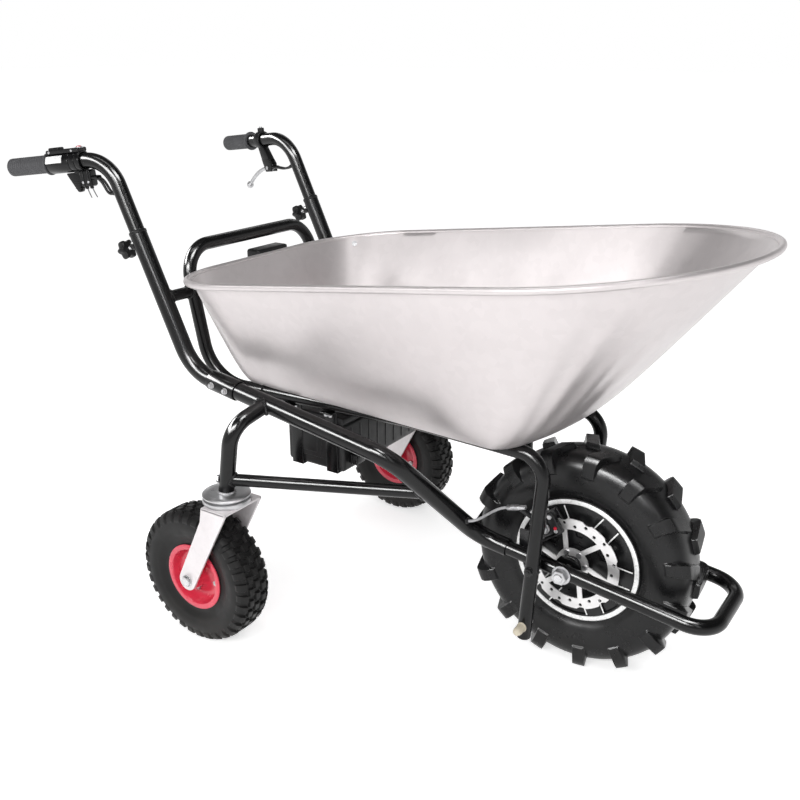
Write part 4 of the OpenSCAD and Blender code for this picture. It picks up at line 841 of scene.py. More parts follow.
@dataclass(frozen=True)
class Layout:
    """Middle lines of the left side's tubes, in millimetres from the front axle's foot."""

    main_r: float = 16.0
    rail_r: float = 12.5
    leg_r: float = 14.0
    loop_r: float = 13.0
    tie_r: float = 11.0
    bar_r: float = 14.0
    wall: float = 2.0
    gap: float = 0.3
    run_gap: float = 0.05
    wheel_r: float = 205.0
    arm_y: float = 88.0
    bow_y: float = 120.0
    bow_back: float = 31.0
    bow_lean: float = 4.0
    rail_turn: float = 300.0
    post_lean: float = 25.2
    stub_h: float = 613.0
    tie_h: float = 333.0
    head_h: float = 309.0
    pivot: tuple[float, float] = (-543.0, 329.0)
    half_w: float = 250.0
    knee_x: float = -685.0
    knee_h: float = 484.0
    main_slope: float = 9.2
    main_front: float = -250.0
    arm_slope: float = 7.3
    arm_ends: tuple[float, float] = (-168.0, -108.0)
    floor_rear: float = -650.0
    floor_h: float = 453.0
    floor_slope: float = 1.95
    floor_bars: tuple[float, float] = (-572.0, -130.0)
    butt_x: float = -590.0
    hoop_foot: float = -707.0
    hoop_half: float = 180.0
    hoop_top: tuple[float, float] = (-758.0, 692.0)
    bow_foot: float = 76.0
    joint_run: float = 80.0
    post_l: float = 272.0
    bar_l: float = 139.0
    knob_drop: float = 20.0
    leg_run: tuple[float, float] = (20.0, 34.0)
    leg_drop: float = 28.0

    def arm_z(self, x: float) -> float:
        """Height of the front arms' middle line."""
        return self.wheel_r - x * tan(self.arm_slope)

    def arm_at(self, x: float) -> Array:
        """Point of the left front arm's middle line."""
        return np.array([x, self.arm_y, self.arm_z(x)])

    def floor_z(self, x: Array | float) -> Array | float:
        """Height of the underside of the tray's floor."""
        return self.floor_h - (x - self.floor_rear) * tan(self.floor_slope)

    def main_z(self, x: float) -> float:
        """Height of the main tubes' middle line."""
        return self.knee_h - (x - self.knee_x) * tan(self.main_slope)

    def rail_at(self, x: float) -> Array:
        """Point of the left rail's middle line."""
        spread, run = self.hoop_half - self.bow_y, -self.hoop_foot - self.rail_turn
        y = self.bow_y + spread * max(0.0, -x - self.rail_turn) / run
        return np.array([x, y, self.floor_z(x) - self.rail_r - self.gap])

    @property
    def knee(self) -> Array:
        """Corner between handle post and main tube."""
        return np.array([self.knee_x, self.half_w, self.knee_h])

    @property
    def main_line(self) -> list[Array]:
        """Corners of the main tube, from the joint with the post to its front end."""
        return [self.joint, np.array([self.main_front, self.half_w, self.main_z(self.main_front)]),
                *(self.arm_at(x) for x in self.arm_ends)]

    @property
    def main_dir(self) -> Array:
        """Direction of the main tube's long run, forward."""
        return lean(self.main_slope)[[2, 1, 0]]

    @property
    def joint(self) -> Array:
        """Where post and main tube meet inside the sleeve."""
        return self.knee + self.joint_run * self.main_dir

    @property
    def post_dir(self) -> Array:
        """Direction of the handle post, upward."""
        return lean(self.post_lean)

    @property
    def post_top(self) -> Array:
        """Upper end of the handle post."""
        return self.knee + self.post_l * self.post_dir

    @property
    def bar_corner(self) -> Array:
        """Corner of the sliding handle bar."""
        return self.post_top + self.bar_l * self.post_dir

    @property
    def grip_tip(self) -> Array:
        """Rear end of the grip."""
        return np.array([-1080.0, 295.0, 829.0])

    @property
    def knob_dir(self) -> Array:
        """Direction from the post to its clamp knob."""
        a = math.radians(self.post_lean)
        return np.array([-math.cos(a), 0.0, -math.sin(a)])

    @property
    def knob_seat(self) -> Array:
        """Point of the post's middle line that the clamp knob bears on."""
        return self.post_top - self.knob_drop * self.post_dir

    @property
    def bow_line(self) -> list[Array]:
        """Rail from its weld on the hoop to the bow's foot."""
        top = self.rail_at(-self.bow_back)
        d = -lean(-self.bow_lean)
        foot = top + d * (top[2] - self.bow_foot) / -d[2]
        return [self.rail_at(self.butt_x), self.rail_at(-self.rail_turn), top, foot]

    def bow_at(self, z: float) -> Array:
        """Point of the bow's middle line at a height."""
        *_, top, foot = self.bow_line
        return top + (foot - top) * (top[2] - z) / (top[2] - foot[2])

    @property
    def hoop_line(self) -> list[Array]:
        """Left half of the rear hoop."""
        x, z = self.hoop_top
        return [self.rail_at(self.butt_x), self.rail_at(self.hoop_foot), np.array([x, self.hoop_half, z])]

    @property
    def stub_line(self) -> tuple[Array, Array]:
        """Stub between the hoop and the post."""
        _, foot, top = self.hoop_line
        a = foot + (top - foot) * (self.stub_h - foot[2]) / (top[2] - foot[2])
        b = self.knee + self.post_dir * (self.stub_h - self.knee[2]) / self.post_dir[2]
        return a, b

    @property
    def leg_line(self) -> list[Array]:
        """Caster leg from its foot to the main tube."""
        (x, y), (knee, end) = self.pivot, self.leg_run
        return [np.array([x, y, self.head_h]), np.array([x + knee, y, self.main_z(x) - self.leg_drop]),
                np.array([x + end, self.half_w, self.main_z(x + end)])]

    @property
    def tie_line(self) -> tuple[Array, Array]:
        """Tie tube from the caster leg to the main tube's slanted run."""
        foot, top, _ = self.leg_line
        _, kink, arm, _ = self.main_line
        rear = foot + (top - foot) * (self.tie_h - foot[2]) / (top[2] - foot[2])
        return rear, kink + (arm - kink) * (kink[2] - self.tie_h) / (kink[2] - arm[2])

    def grip_frame(self, side: Side) -> tuple[Array, Array]:
        """Frame of the controls: X up the bar from the grip's end, Z up.

        Args:
            side: which handle.

        Returns:
            A matrix with the three directions as columns, and the origin.
        """
        x = unit((self.bar_corner - self.grip_tip) * side.flip)
        z = unit(UP - x * x[2])
        return np.stack([x, np.cross(z, x), z], 1), self.grip_tip * side.flip


@dataclass
class Tray:
    """Pressed tray: a floor outline that flares to a rim outline, with a rolled bead on top."""

    layout: Layout
    rear: float = -735.0
    nose_x: float = -46.0
    half_w: float = 302.0
    corner: float = 175.0
    rim_h: float = 647.0
    rise: float = 6.9
    bead: float = 6.0
    sheet: float = 2.0
    floor_rear: float = -650.0
    floor_nose_x: float = -106.0
    floor_half: float = 182.0
    floor_nose: float = 84.0
    floor_corner: float = 48.0
    stud_in: float = 13.0
    steps: tuple[int, int, int, int] = (140, 44, 40, 26)

    def outline(self, rear: float, centre: float, half: float, nose: float, corner: float) -> Array:
        """Closed plan line: a rounded nose, two sides, two rear corners and the rear edge."""
        n_nose, n_side, n_corner, n_rear = self.steps
        a = np.radians(np.linspace(-90, 90, n_nose))
        c = np.radians(np.linspace(90, 180, n_corner))
        s = np.linspace(0, 1, n_side + 2)[1:-1]
        r = np.linspace(0, 1, n_rear + 2)[1:-1]
        back = rear + corner
        parts = [
            np.stack([centre + nose * np.cos(a), half * np.sin(a)], 1),
            np.stack([centre + (back - centre) * s, np.full_like(s, half)], 1),
            np.stack([back + corner * np.cos(c), half - corner + corner * np.sin(c)], 1),
            np.stack([np.full_like(r, rear), (half - corner) * (1 - 2 * r)], 1),
            np.stack([back - corner * np.sin(c), corner - half + corner * np.cos(c)], 1),
            np.stack([back + (centre - back) * s, np.full_like(s, -half)], 1),
        ]
        return np.concatenate(parts)

    def rim_outline(self, d: float) -> Array:
        """Plan line of the rim's middle, set out by d."""
        return self.outline(self.rear - d, self.nose_x, self.half_w + d, self.half_w + d, self.corner + d)

    def floor_outline(self, d: float) -> Array:
        """Plan line of the floor's edge, set out by d."""
        return self.outline(self.floor_rear - d, self.floor_nose_x, self.floor_half + d,
                            self.floor_nose + d, self.floor_corner + d)

    def rim_z(self, x: Array) -> Array:
        """Height of the rim's middle."""
        return self.rim_h + (x - self.rear) * tan(self.rise)

    def press_marks(self, t: Array, xy: Array) -> Array:
        """How far the pressing leaves the smooth wall, in millimetres outward.

        Slow waves along the walls, pleats that fan out round the two front corners and a faint
        upright line under the rim of each side, all of which fade at floor and rim.
        """
        around = np.degrees(np.arctan2(xy[:, 1], xy[:, 0] - self.nose_x))[None]
        along = xy[None, :, 0]
        middle = np.sin(math.pi * np.clip(t, 0, 1)) ** 0.8
        waves = 0.5 * np.sin(along / 74.0 + 3.0 * t) + 0.35 * np.sin(along / 41.0 - 2.0 * t + 1.0)
        fan = np.exp(-((np.abs(around) - 46.0) / 22.0) ** 2)
        pleats = 1.5 * fan * np.cos(np.radians(np.abs(around) * 26.0) + 2.5 * t)
        line = 0.9 * np.exp(-((along + 196.0) / 3.5) ** 2) * box_fade(t, 0.62, 0.99, 0.1)
        sides = np.abs(xy[None, :, 1]) > 150.0
        return middle * (waves + pleats) + line * sides

    def wall(self, t: Array, d: float, lift: float) -> Array:
        """Rings of the wall: from the floor's outline to the rim's, drawn in near the floor.

        Args:
            t: heights as shares, as a column.
            d: how far the skin is set out.
            lift: how far the floor is raised.

        Returns:
            Points by ring and place round the tray.
        """
        low, high = self.floor_outline(d), self.rim_outline(d - self.bead - self.sheet)
        out = (t - 0.12 * np.exp(-t / 0.1))[..., None]
        xy = low + (high - low) * out
        run = unit_rows(high - low)
        xy = xy + run * self.press_marks(t, high)[..., None]
        z0 = self.layout.floor_z(xy[..., 0]) + lift
        z = z0 + (self.rim_z(high[:, 0]) - z0) * t
        return np.concatenate([xy, z[..., None]], -1)

    def shell(self) -> Surface:
        """Outer skin from the floor's middle up, over the bead and down the inner skin."""
        t = (np.linspace(0, 1, 46) ** 1.5)[:, None]
        outer, inner = self.wall(t, 0.0, 0.0), self.wall(t, -self.sheet, self.sheet)[::-1]
        a = np.radians(np.linspace(-165, 178, 26))
        bead = []
        for c, s in zip(self.bead * np.cos(a), self.bead * np.sin(a)):
            line = self.rim_outline(float(c))
            bead.append(np.concatenate([line, (self.rim_z(line[:, 0]) + s)[:, None]], 1))
        middle = np.array([-330.0, 0.0])
        shares = np.linspace(0, 1, 12, endpoint=False)[:, None, None]

        def floor(ring: Array, lift: float) -> Array:
            """Rings of the floor, from its middle to its edge."""
            xy = middle + (ring[:, :2] - middle) * shares
            return np.concatenate([xy, (self.layout.floor_z(xy[..., 0]) + lift)[..., None]], -1)

        rings = np.concatenate([floor(outer[0], 0.0), outer, np.array(bead), inner,
                                floor(inner[-1], self.sheet)[::-1]])
        return Surface(rings.reshape(-1, 3), grid_faces(len(rings), rings.shape[1], False, True))

    def build(self, shop: Shop) -> None:
        """Makes the tray and the studs at its rear corners."""
        shop.add("tray_shell", self.shell(), Coat.TRAY, "frame", ["tray"], smooth=60.0)
        a = math.radians(135.0)
        reach = self.corner - self.stud_in
        x = self.rear + self.corner + reach * math.cos(a)
        y = self.half_w - self.corner + reach * math.sin(a)
        z = float(self.rim_z(np.array(x))) - self.stud_in
        stud = spin([[0, 3.2], [3.4, 2.6], [5.2, 1.2], [5.6, 0], [5.6, -4], [0, -4]], np.array([x, y, z]),
                    unit([math.cos(a), math.sin(a), -0.45]), 24)
        shop.add("rim_corner_rivets", both([stud]), Coat.STEEL, "frame")


@dataclass
class FrameTubes:
    """Bent tubes of the frame with their welds, sleeves, bars and bolts."""

    layout: Layout

    def build(self, shop: Shop) -> None:
        """Makes all the fixed tubes and what joins them."""
        self.long_tubes(shop)
        self.small_tubes(shop)
        self.welds(shop)
        self.sleeves(shop)
        self.bolts(shop)
        self.cross_bars(shop)

    def long_tubes(self, shop: Shop) -> None:
        """Main tubes, posts, rails with their bows, front loop and rear hoop."""
        l = self.layout
        for side in Side:
            w = side.word
            main = tube(bent(l.main_line, [60, 60]), l.main_r, l.loop_r + l.gap)
            shop.add(f"{w}_main_tube_bent", main.flipped(side), Coat.FRAME, "frame", [f"{w}_main_tube"])
            post = tube(bent([l.post_top, l.knee, l.joint], [90]), l.main_r, l.bar_r + l.run_gap)
            boss = turned([[4.1, 14.6], [8, 14.6], [8, 26], [4.1, 26]], 1.0, l.knob_seat, l.knob_dir, 32)
            collar = turned([[l.bar_r + 0.4, 0], [l.main_r + 0.5, 0], [l.main_r + 0.5, 5], [l.main_r, 6.5],
                             [l.bar_r + 0.4, 6.5]], 0.8, l.post_top - 6.0 * l.post_dir, l.post_dir, 40)
            shop.add(f"{w}_handle_post_bent", [s.flipped(side) for s in (post, boss)], Coat.FRAME, "frame",
                     [f"{w}_handle_post"])
            shop.add(f"{w}_post_collar", collar.flipped(side), Coat.PLASTIC, "frame")
            rail = tube(bent(l.bow_line, [400, 45]), l.rail_r, l.rail_r - l.wall)
            shop.add(f"{w}_rail_bent", rail.flipped(side), Coat.FRAME, "frame", [f"{w}_rail"])
            foot, up = l.bow_line[-1], unit(l.bow_line[-2] - l.bow_line[-1])
            plug = spin(rounded([[0, -2.4], [10, -2.4], [12.4, -0.6], [12.4, 0], [10.4, 0.1], [10.2, 12],
                                 [0, 12]], 0.6), foot, up, 32)
            shop.add(f"{w}_bow_plug", plug.flipped(side), Coat.PLASTIC, "frame")
        end, nose = l.arm_at(-128.0), l.arm_at(254.0)
        loop = tube(bent([end, nose, nose * MIRROR, end * MIRROR], [48, 48]), l.loop_r, l.loop_r - l.wall)
        shop.add("front_loop_bent", loop, Coat.FRAME, "frame", ["front_loop"])
        half = l.hoop_line
        points = half + [p * MIRROR for p in half[::-1]]
        shop.add("rear_hoop_bent", tube(bent(points, [92, 60, 60, 92]), l.rail_r, l.rail_r - l.wall),
                 Coat.FRAME, "frame", ["rear_hoop"])

    def small_tubes(self, shop: Shop) -> None:
        """Stubs to the hoop, caster legs and tie tubes, which run into the tubes that carry them."""
        l = self.layout
        for name, line, r, node in (("hoop_stub_tubes", np.linspace(*l.stub_line, 4), l.tie_r, "hoop_stubs"),
                                    ("caster_leg_tubes", bent(l.leg_line, [48]), l.leg_r, "caster_legs"),
                                    ("tie_tube_pair", np.linspace(*l.tie_line, 12), l.tie_r, "tie_tubes")):
            shop.add(name, both([tube(line, r, r - l.wall)]), Coat.FRAME, "frame", [node])

    def welds(self, shop: Shop) -> None:
        """Weld beads at the tubes' joints."""
        l = self.layout
        a, b = l.stub_line
        _, hoop_foot, hoop_top = l.hoop_line
        foot, leg_top, leg_end = l.leg_line
        rear, front = l.tie_line
        _, kink, arm, _ = l.main_line
        beads = [
            weld(a, b, l.tie_r, hoop_foot, hoop_top - hoop_foot, l.rail_r),
            weld(b, a, l.tie_r, l.knee, l.post_dir, l.main_r),
            weld(leg_end, leg_top, l.leg_r, l.knee, l.main_dir, l.main_r, 3.2),
            weld(rear, front, l.tie_r, foot, leg_top - foot, l.leg_r),
            weld(front, rear, l.tie_r, kink, arm - kink, l.main_r),
        ]
        butt = l.rail_at(l.butt_x)
        turn, ring = axes_to(l.rail_at(l.butt_x + 110.0) - butt), WELD_RING
        circle = butt + 12.6 * (np.cos(ring)[:, None] * turn[:, 0] + np.sin(ring)[:, None] * turn[:, 1])
        beads.append(ring_bead(circle, 2.0 * (1 + 0.15 * np.sin(34 * ring))))
        shop.add("frame_welds", both(beads), Coat.WELD, "frame", smooth=70.0)

    def sleeves(self, shop: Shop) -> None:
        """Sleeves over the joints of posts and main tubes."""
        l = self.layout
        wall = [[16.05, -32], [18.55, -32], [18.55, 32], [16.05, 32]]
        ring = turned(wall + wall[:1], 0.9, l.joint, l.main_dir, 48)
        shop.add("joint_sleeve_pair", both([ring]), Coat.FRAME, "frame", ["joint_sleeves"])

    def bolts(self, shop: Shop) -> None:
        """Hexagon bolts with washers, and the cap nuts on the bows' feet."""
        l = self.layout
        shapes, dark, caps = [], [], []

        def through(p: Array, y0: float, y1: float, k: float = 1.0) -> list[Surface]:
            """Head, nut and washers of a bolt along Y through a point, between two places in Y."""
            parts = []
            for y, way in ((y0, -1.0), (y1, 1.0)):
                at = np.array([p[0], y, p[2]])
                parts.append(washer(4.1 * k, 8.6 * k, 1.2, at, way * ACROSS))
                parts.append(hexagon(at + way * 1.2 * ACROSS, way * ACROSS, 7.6 * k, 4.2))
                parts.append(rod(at + way * 5.2 * ACROSS, at + way * 7.2 * ACROSS, 3.6 * k, 0.8, 20))
            return parts

        mid = l.bow_at(l.arm_z(-l.bow_back - 22.5))
        dark += through(mid, l.arm_y - l.loop_r, l.bow_y + l.rail_r)
        dark.append(rod([mid[0], 101, mid[2]], [mid[0], 107.5, mid[2]], 8.0, 0.6))
        low = l.bow_at(101.0)
        shapes += through(low, l.bow_y - l.rail_r, l.bow_y + l.rail_r)[:3]
        cap = [[0, 24], [3.5, 23.6], [6.2, 21.8], [7.6, 18.5], [8, 14], [8, 3], [8.9, 2.4], [8.9, 0], [0, 0]]
        caps.append(spin(cap, [low[0], l.bow_y + l.rail_r, low[2]], ACROSS, 32))
        for s in (-1, 1):
            p = l.joint + s * 16.0 * l.main_dir
            shapes += through(p, p[1] - 18.6, p[1] + 18.6, 0.68)
        rear, front = l.tie_line
        way = unit(rear - front)
        shapes.append(washer(4.1, 8.0, 1.2, rear + (l.leg_r - 0.4) * way, way))
        shapes.append(hexagon(rear + (l.leg_r + 0.8) * way, way, 7.0, 4.4))
        for x in l.floor_bars:
            p = np.array([x, 70.0, l.floor_z(x)])
            shapes.append(rod(p - 12.5 * UP, p - 0.3 * UP, 4.0, 0.5, 20))
            shapes.append(hexagon(p - 5.9 * UP, -UP, 7.6, 5.0))
        shop.add("frame_bolt_set", both(shapes), Coat.ZINC, "frame", ["frame_bolts"])
        shop.add("painted_arm_bolts", both(dark), Coat.WELD, "frame")
        shop.add("bow_cap_nuts", both(caps), Coat.CREAM, "frame")

    def cross_bars(self, shop: Shop) -> None:
        """Flat bars between the rails that carry the floor."""
        l = self.layout
        bars = []
        tilt = about(ACROSS, l.floor_slope)[0]
        for x in l.floor_bars:
            half = l.rail_at(x)[1] - l.rail_r / 2
            bars.append(block([40, 2 * half, 5], ORIGIN, 0.8).moved(tilt, [x, 0, l.floor_z(x) - l.gap - 2.5]))
        shop.add("floor_bars", bars, Coat.FRAME, "frame", ["cross_bars"])


@dataclass(frozen=True)
class TreadRow:
    """Blocks of one row: its reach across the tyre and its place round it.

    Args:
        low: start across the tyre, counted in section points from the crown.
        high: end across the tyre.
        right: shift of the right side's blocks, as a share of the pitch.
        left: shift of the left side's blocks.
    """

    low: float
    high: float
    right: float
    left: float


@dataclass
class TreadedTyre:
    """Tyre with moulded blocks.

    The section runs from bead to bead; each point lies between the smooth carcass and the blocks'
    tops, by a mask that is 1 on a block. The grid is sheared so that its lines follow the blocks' flanks.

    Args:
        centre: the wheel's middle.
        carcass: half section of the smooth tyre, radius and place across, from crown to bead.
        tops: half section of the blocks' tops, point for point.
        count: blocks in a row.
        width: width of a block along the tread.
        slant: slant of the blocks in degrees.
        rows: rows of blocks.
        ridge_r: radius of a moulded line on the sidewall.
        flank: width of a block's flank in degrees.
        fine: even steps in half a pitch.
    """

    centre: Array
    carcass: Sequence[tuple[float, float]]
    tops: Sequence[tuple[float, float]]
    count: int
    width: float
    slant: float
    rows: Sequence[TreadRow]
    ridge_r: float
    flank: float = 0.9
    fine: int = 4

    def surface(self) -> Surface:
        """The whole tyre as one closed grid."""
        n, reach = len(self.carcass) - 1, int(max(row.high for row in self.rows)) + 1
        edges = [e + d for row in self.rows for e in (row.low, row.high) for d in (-0.13, -0.05, 0.05, 0.13)]
        places = [np.linspace(0, reach, 3 * reach + 1), np.linspace(reach, n, 2 * (n - reach) + 1), edges]
        half = np.unique(np.clip(np.concatenate(places), 0, n))
        body, top = spline_at(self.carcass, half), spline_at(self.tops, half)
        ridge = 0.9 * np.exp(-(((body[:, 0] - self.ridge_r) / 1.8) ** 2))
        body = body + np.stack([np.zeros_like(ridge), ridge], 1)
        crown, pitch = self.tops[0][0], 360.0 / self.count
        wide = math.degrees(self.width / 2 / crown)
        steps = [e + d for e in (wide, pitch / 2 - wide) for d in (-0.46, -0.16, 0.16, 0.46)]
        base = np.unique(np.mod(np.concatenate([np.linspace(0, pitch / 2, self.fine + 1)[:-1], steps]),
                                pitch / 2))
        around = (np.arange(2 * self.count)[:, None] * pitch / 2 + base).ravel()
        sides = []
        for sign in (-1.0, 1.0):
            mask = np.zeros((len(around), len(half)))
            for row in self.rows:
                shift = (row.right if sign < 0 else row.left) * pitch
                d = np.mod(around - shift + pitch / 2, pitch) - pitch / 2
                mask = np.maximum(mask, box_fade(d, -wide, wide, self.flank)[:, None]
                                  * box_fade(half, row.low, row.high, 0.25)[None])
            section = body + mask[..., None] * (top - body)
            angle = np.radians(around[:, None] - 90.0) + top[:, 1] * tan(self.slant) / crown
            r, y = section[..., 0], section[..., 1] * sign
            sides.append(np.stack([r * np.cos(angle), y, r * np.sin(angle)], -1))
        grid = np.concatenate([sides[0][:, ::-1], sides[1][:, 1:]], 1)
        faces = grid_faces(grid.shape[0], grid.shape[1], True, True)
        return Surface(grid.reshape(-1, 3) + self.centre, faces)


FRONT_CARCASS = ((196, 0), (196, 10), (195.7, 20), (194.4, 29), (191.6, 36.8), (186.6, 43), (180, 47.2),
                 (172.6, 49.9), (165, 51.2), (157, 51.3), (148.8, 50), (139, 47.5), (130.2, 44.4),
                 (122, 40.4), (117.4, 38.6), (110, 37.6), (101.2, 37.2))
FRONT_TOPS = ((205, 0), (205, 10), (205, 22), (204.9, 34), (204.6, 44), (202.5, 48.6), (192, 53.8),
              (178, 55), (166.5, 54.8), (158.6, 53.4), *FRONT_CARCASS[10:])
CASTER_CARCASS = ((125.4, 0), (125.4, 7), (125.2, 14.6), (124.4, 21), (122.4, 27.4), (117.6, 33.4),
                  (109.2, 36.9), (102, 37.6), (95.9, 37.2), (88.5, 35.4), (81.7, 33), (75.5, 30), (71, 28.2),
                  (65, 27.9), (59.3, 27.7))
CASTER_TOPS = ((130, 0), (130, 7), (130, 15.4), (129.2, 22), (127.6, 28), (121.6, 35.2), (110.8, 37.9),
               *CASTER_CARCASS[7:])


@dataclass
class FrontWheel:
    """Driven wheel: lugged tyre, rim with its machined ring, spoked hub covers and axle."""

    layout: Layout
    spokes: int = 6
    spoke_w: float = 36.0
    face: float = 41.5
    recess: float = 3.4
    first_spoke: float = -5.0

    @property
    def centre(self) -> Array:
        """The wheel's middle."""
        return np.array([0.0, 0.0, self.layout.wheel_r])

    def cover(self) -> Surface:
        """Left hub cover: a disc in rings, sunk between its spokes, with a flat back."""
        r = np.array([20.2, 24, 34, 45.4, 46, 46.7, 60, 76, 92, 101.6, 102.4, 103.2, 105.4])
        window = box_fade(r, 46.0, 102.4, 1.4)
        half = np.minimum(np.degrees(np.arcsin(np.minimum(self.spoke_w / 2 / r, 0.99))), 26.0)
        soft = np.degrees(1.1 / r)
        spoke = np.array([-1.0, -0.5, 0.0, 0.5])
        gap = np.linspace(0, 1, 9)
        step = 360.0 / self.spokes
        one = np.concatenate([
            half[:, None] * spoke, half[:, None],
            (half + soft)[:, None] + gap * (step - 2 * half - 2 * soft)[:, None]], 1)
        sunk = np.concatenate([np.zeros(len(spoke) + 1), np.ones(len(gap))])
        k = np.arange(self.spokes)[None, :, None] * step + self.first_spoke
        a = np.radians(one[:, None, :] + k).reshape(len(r), -1)
        y = self.face - self.recess * window[:, None] * np.tile(sunk, self.spokes)
        back = np.array([105.4, 20.2])
        rows_r = np.concatenate([np.broadcast_to(r[:, None], a.shape),
                                 np.broadcast_to(back[:, None], (2, a.shape[1]))])
        rows_y = np.concatenate([y, np.full((2, a.shape[1]), self.face - 5.2)])
        rows_a = np.concatenate([a, a[[-1, 0]]])
        grid = np.stack([rows_r * np.cos(rows_a), rows_y, rows_r * np.sin(rows_a)], -1)
        faces = grid_faces(grid.shape[0], grid.shape[1], True, True)
        return Surface(grid.reshape(-1, 3) + self.centre, faces)

    def build(self, shop: Shop) -> None:
        """Makes the wheel's pieces."""
        c = self.centre
        tyre = TreadedTyre(c, FRONT_CARCASS, FRONT_TOPS, 15, 27.0, 24.0, [TreadRow(0.3, 8.25, 0.0, 0.5)],
                           131.0, fine=8)
        shop.add("front_tyre_lugged", tyre.surface(), Coat.TYRE, "front_wheel", ["front_tyre"], smooth=50.0)
        lip = [[89.8, 36.0], [105.9, 36.0], [105.9, 41.2], [113.5, 41.8], [116.2, 41.8], [117, 40.6],
               [117, 38.4], [115.6, 37.8], [100.7, 37.8], [100.7, 30]]
        section = lip + [[r, -y] for r, y in lip[::-1]]
        shop.add("wheel_rim_turned", spin(section, c, ACROSS, 128, closed=True), Coat.RIM_BLACK,
                 "front_wheel", ["wheel_rim"])
        ring = [[106.2, 41.0], [106.4, 42.0], [107.2, 42.5], [113.6, 42.5], [114.4, 41.9], [114.4, 41.0]]
        shop.add("rim_machined_rings", [spin(ring, c, s.value * ACROSS, 128, closed=True) for s in Side],
                 Coat.MACHINED, "front_wheel")
        boss = turned([[16, 40], [30, 40], [30, 54], [16, 54], [16, 40]], 0.8, c, -ACROSS, 64)
        shop.add("right_hub_cover_spoked", [self.cover().flipped(Side.RIGHT), boss], Coat.HUB, "front_wheel",
                 ["right_hub_cover"])
        cap = turned([[20.4, 40], [34, 40], [33, 44.5], [28, 46.4], [20.4, 46.4], [20.4, 40]], 1.2, c,
                     ACROSS, 64)
        shop.add("left_hub_cover_spoked", [self.cover(), cap], Coat.HUB, "front_wheel", ["left_hub_cover"])
        edges = []
        for z in (-1, 1):
            strip = block([40.0, 0.8, 2.4], [82.0, self.face + 0.3, z * (self.spoke_w / 2 - 1.3)], 0.3)
            turns = about(ACROSS, -(np.arange(self.spokes) * 360.0 / self.spokes + self.first_spoke))
            edges.append(copies(strip, turns, ORIGIN).moved(None, c))
        shop.add("hub_spoke_edges", both(edges), Coat.MACHINED, "front_wheel")
        line = [[0, 1.0], [2.4, 1.0], [2.6, 0.4], [2.6, -1], [0, -1]]
        screw = merge([spin(line, (38.0, self.face, 0), ACROSS, 6),
                       washer(2.8, 4.6, 1.0, (38.0, self.face - 0.5, 0), ACROSS)])
        ringed = copies(screw, about(ACROSS, np.arange(6) * 60.0 + 25.0), ORIGIN).moved(None, c)
        shop.add("left_hub_screws", ringed, Coat.ZINC, "front_wheel")
        self.axle(shop)

    def axle(self, shop: Shop) -> None:
        """Axle, its nuts and washers, and the round plates inside the arms."""
        c, parts, nuts, plates = self.centre, [], [], []
        parts.append(rod(c - 69.8 * ACROSS, c + 69.8 * ACROSS, 12.0, 0.8))
        for side in Side:
            way = side.value * ACROSS
            thread = [[8 - 0.35 * (k % 2), 69.8 + k] for k in range(46)]
            parts.append(spin([[0, 69.8]] + thread + [[6.8, 116], [0, 116]], c, way, 36))
            nuts.append(washer(8.1, 17.0, 2.0, c + 101.0 * way, way))
            nuts.append(spin([[8.1, 103], [13.4, 103], [14, 103.8], [14, 112.6], [12.6, 114], [8.1, 114]],
                             c, way, 6, closed=True))
            plates.append(turned([[8.1, 70], [24, 70], [24, 75], [8.1, 75], [8.1, 70]], 0.7, c, way, 56))
        shop.add("wheel_axle_threaded", parts, Coat.STEEL, "frame", ["wheel_axle"])
        shop.add("axle_nut_pair", nuts, Coat.ZINC, "frame", ["axle_nuts"], smooth=30.0)
        shop.add("axle_plate_pair", plates, Coat.FRAME, "frame", ["axle_plates"])


def cable(shop: Shop, name: str, points: Array, r: float, coat: Coat, body: str,
          stands_for: Sequence[str] = ()) -> None:
    """Args:
        shop: where it is made.
        name: the piece's name.
        points: its middle line in millimetres.
        r: its radius.
        coat: its finish.
        body: the body that carries it.
        stands_for: the CAD node that it replaces.
    """
    obj = shop.add(name, sweep(points, r, 16), coat, body, stands_for)
    path = shop.place.row(points)


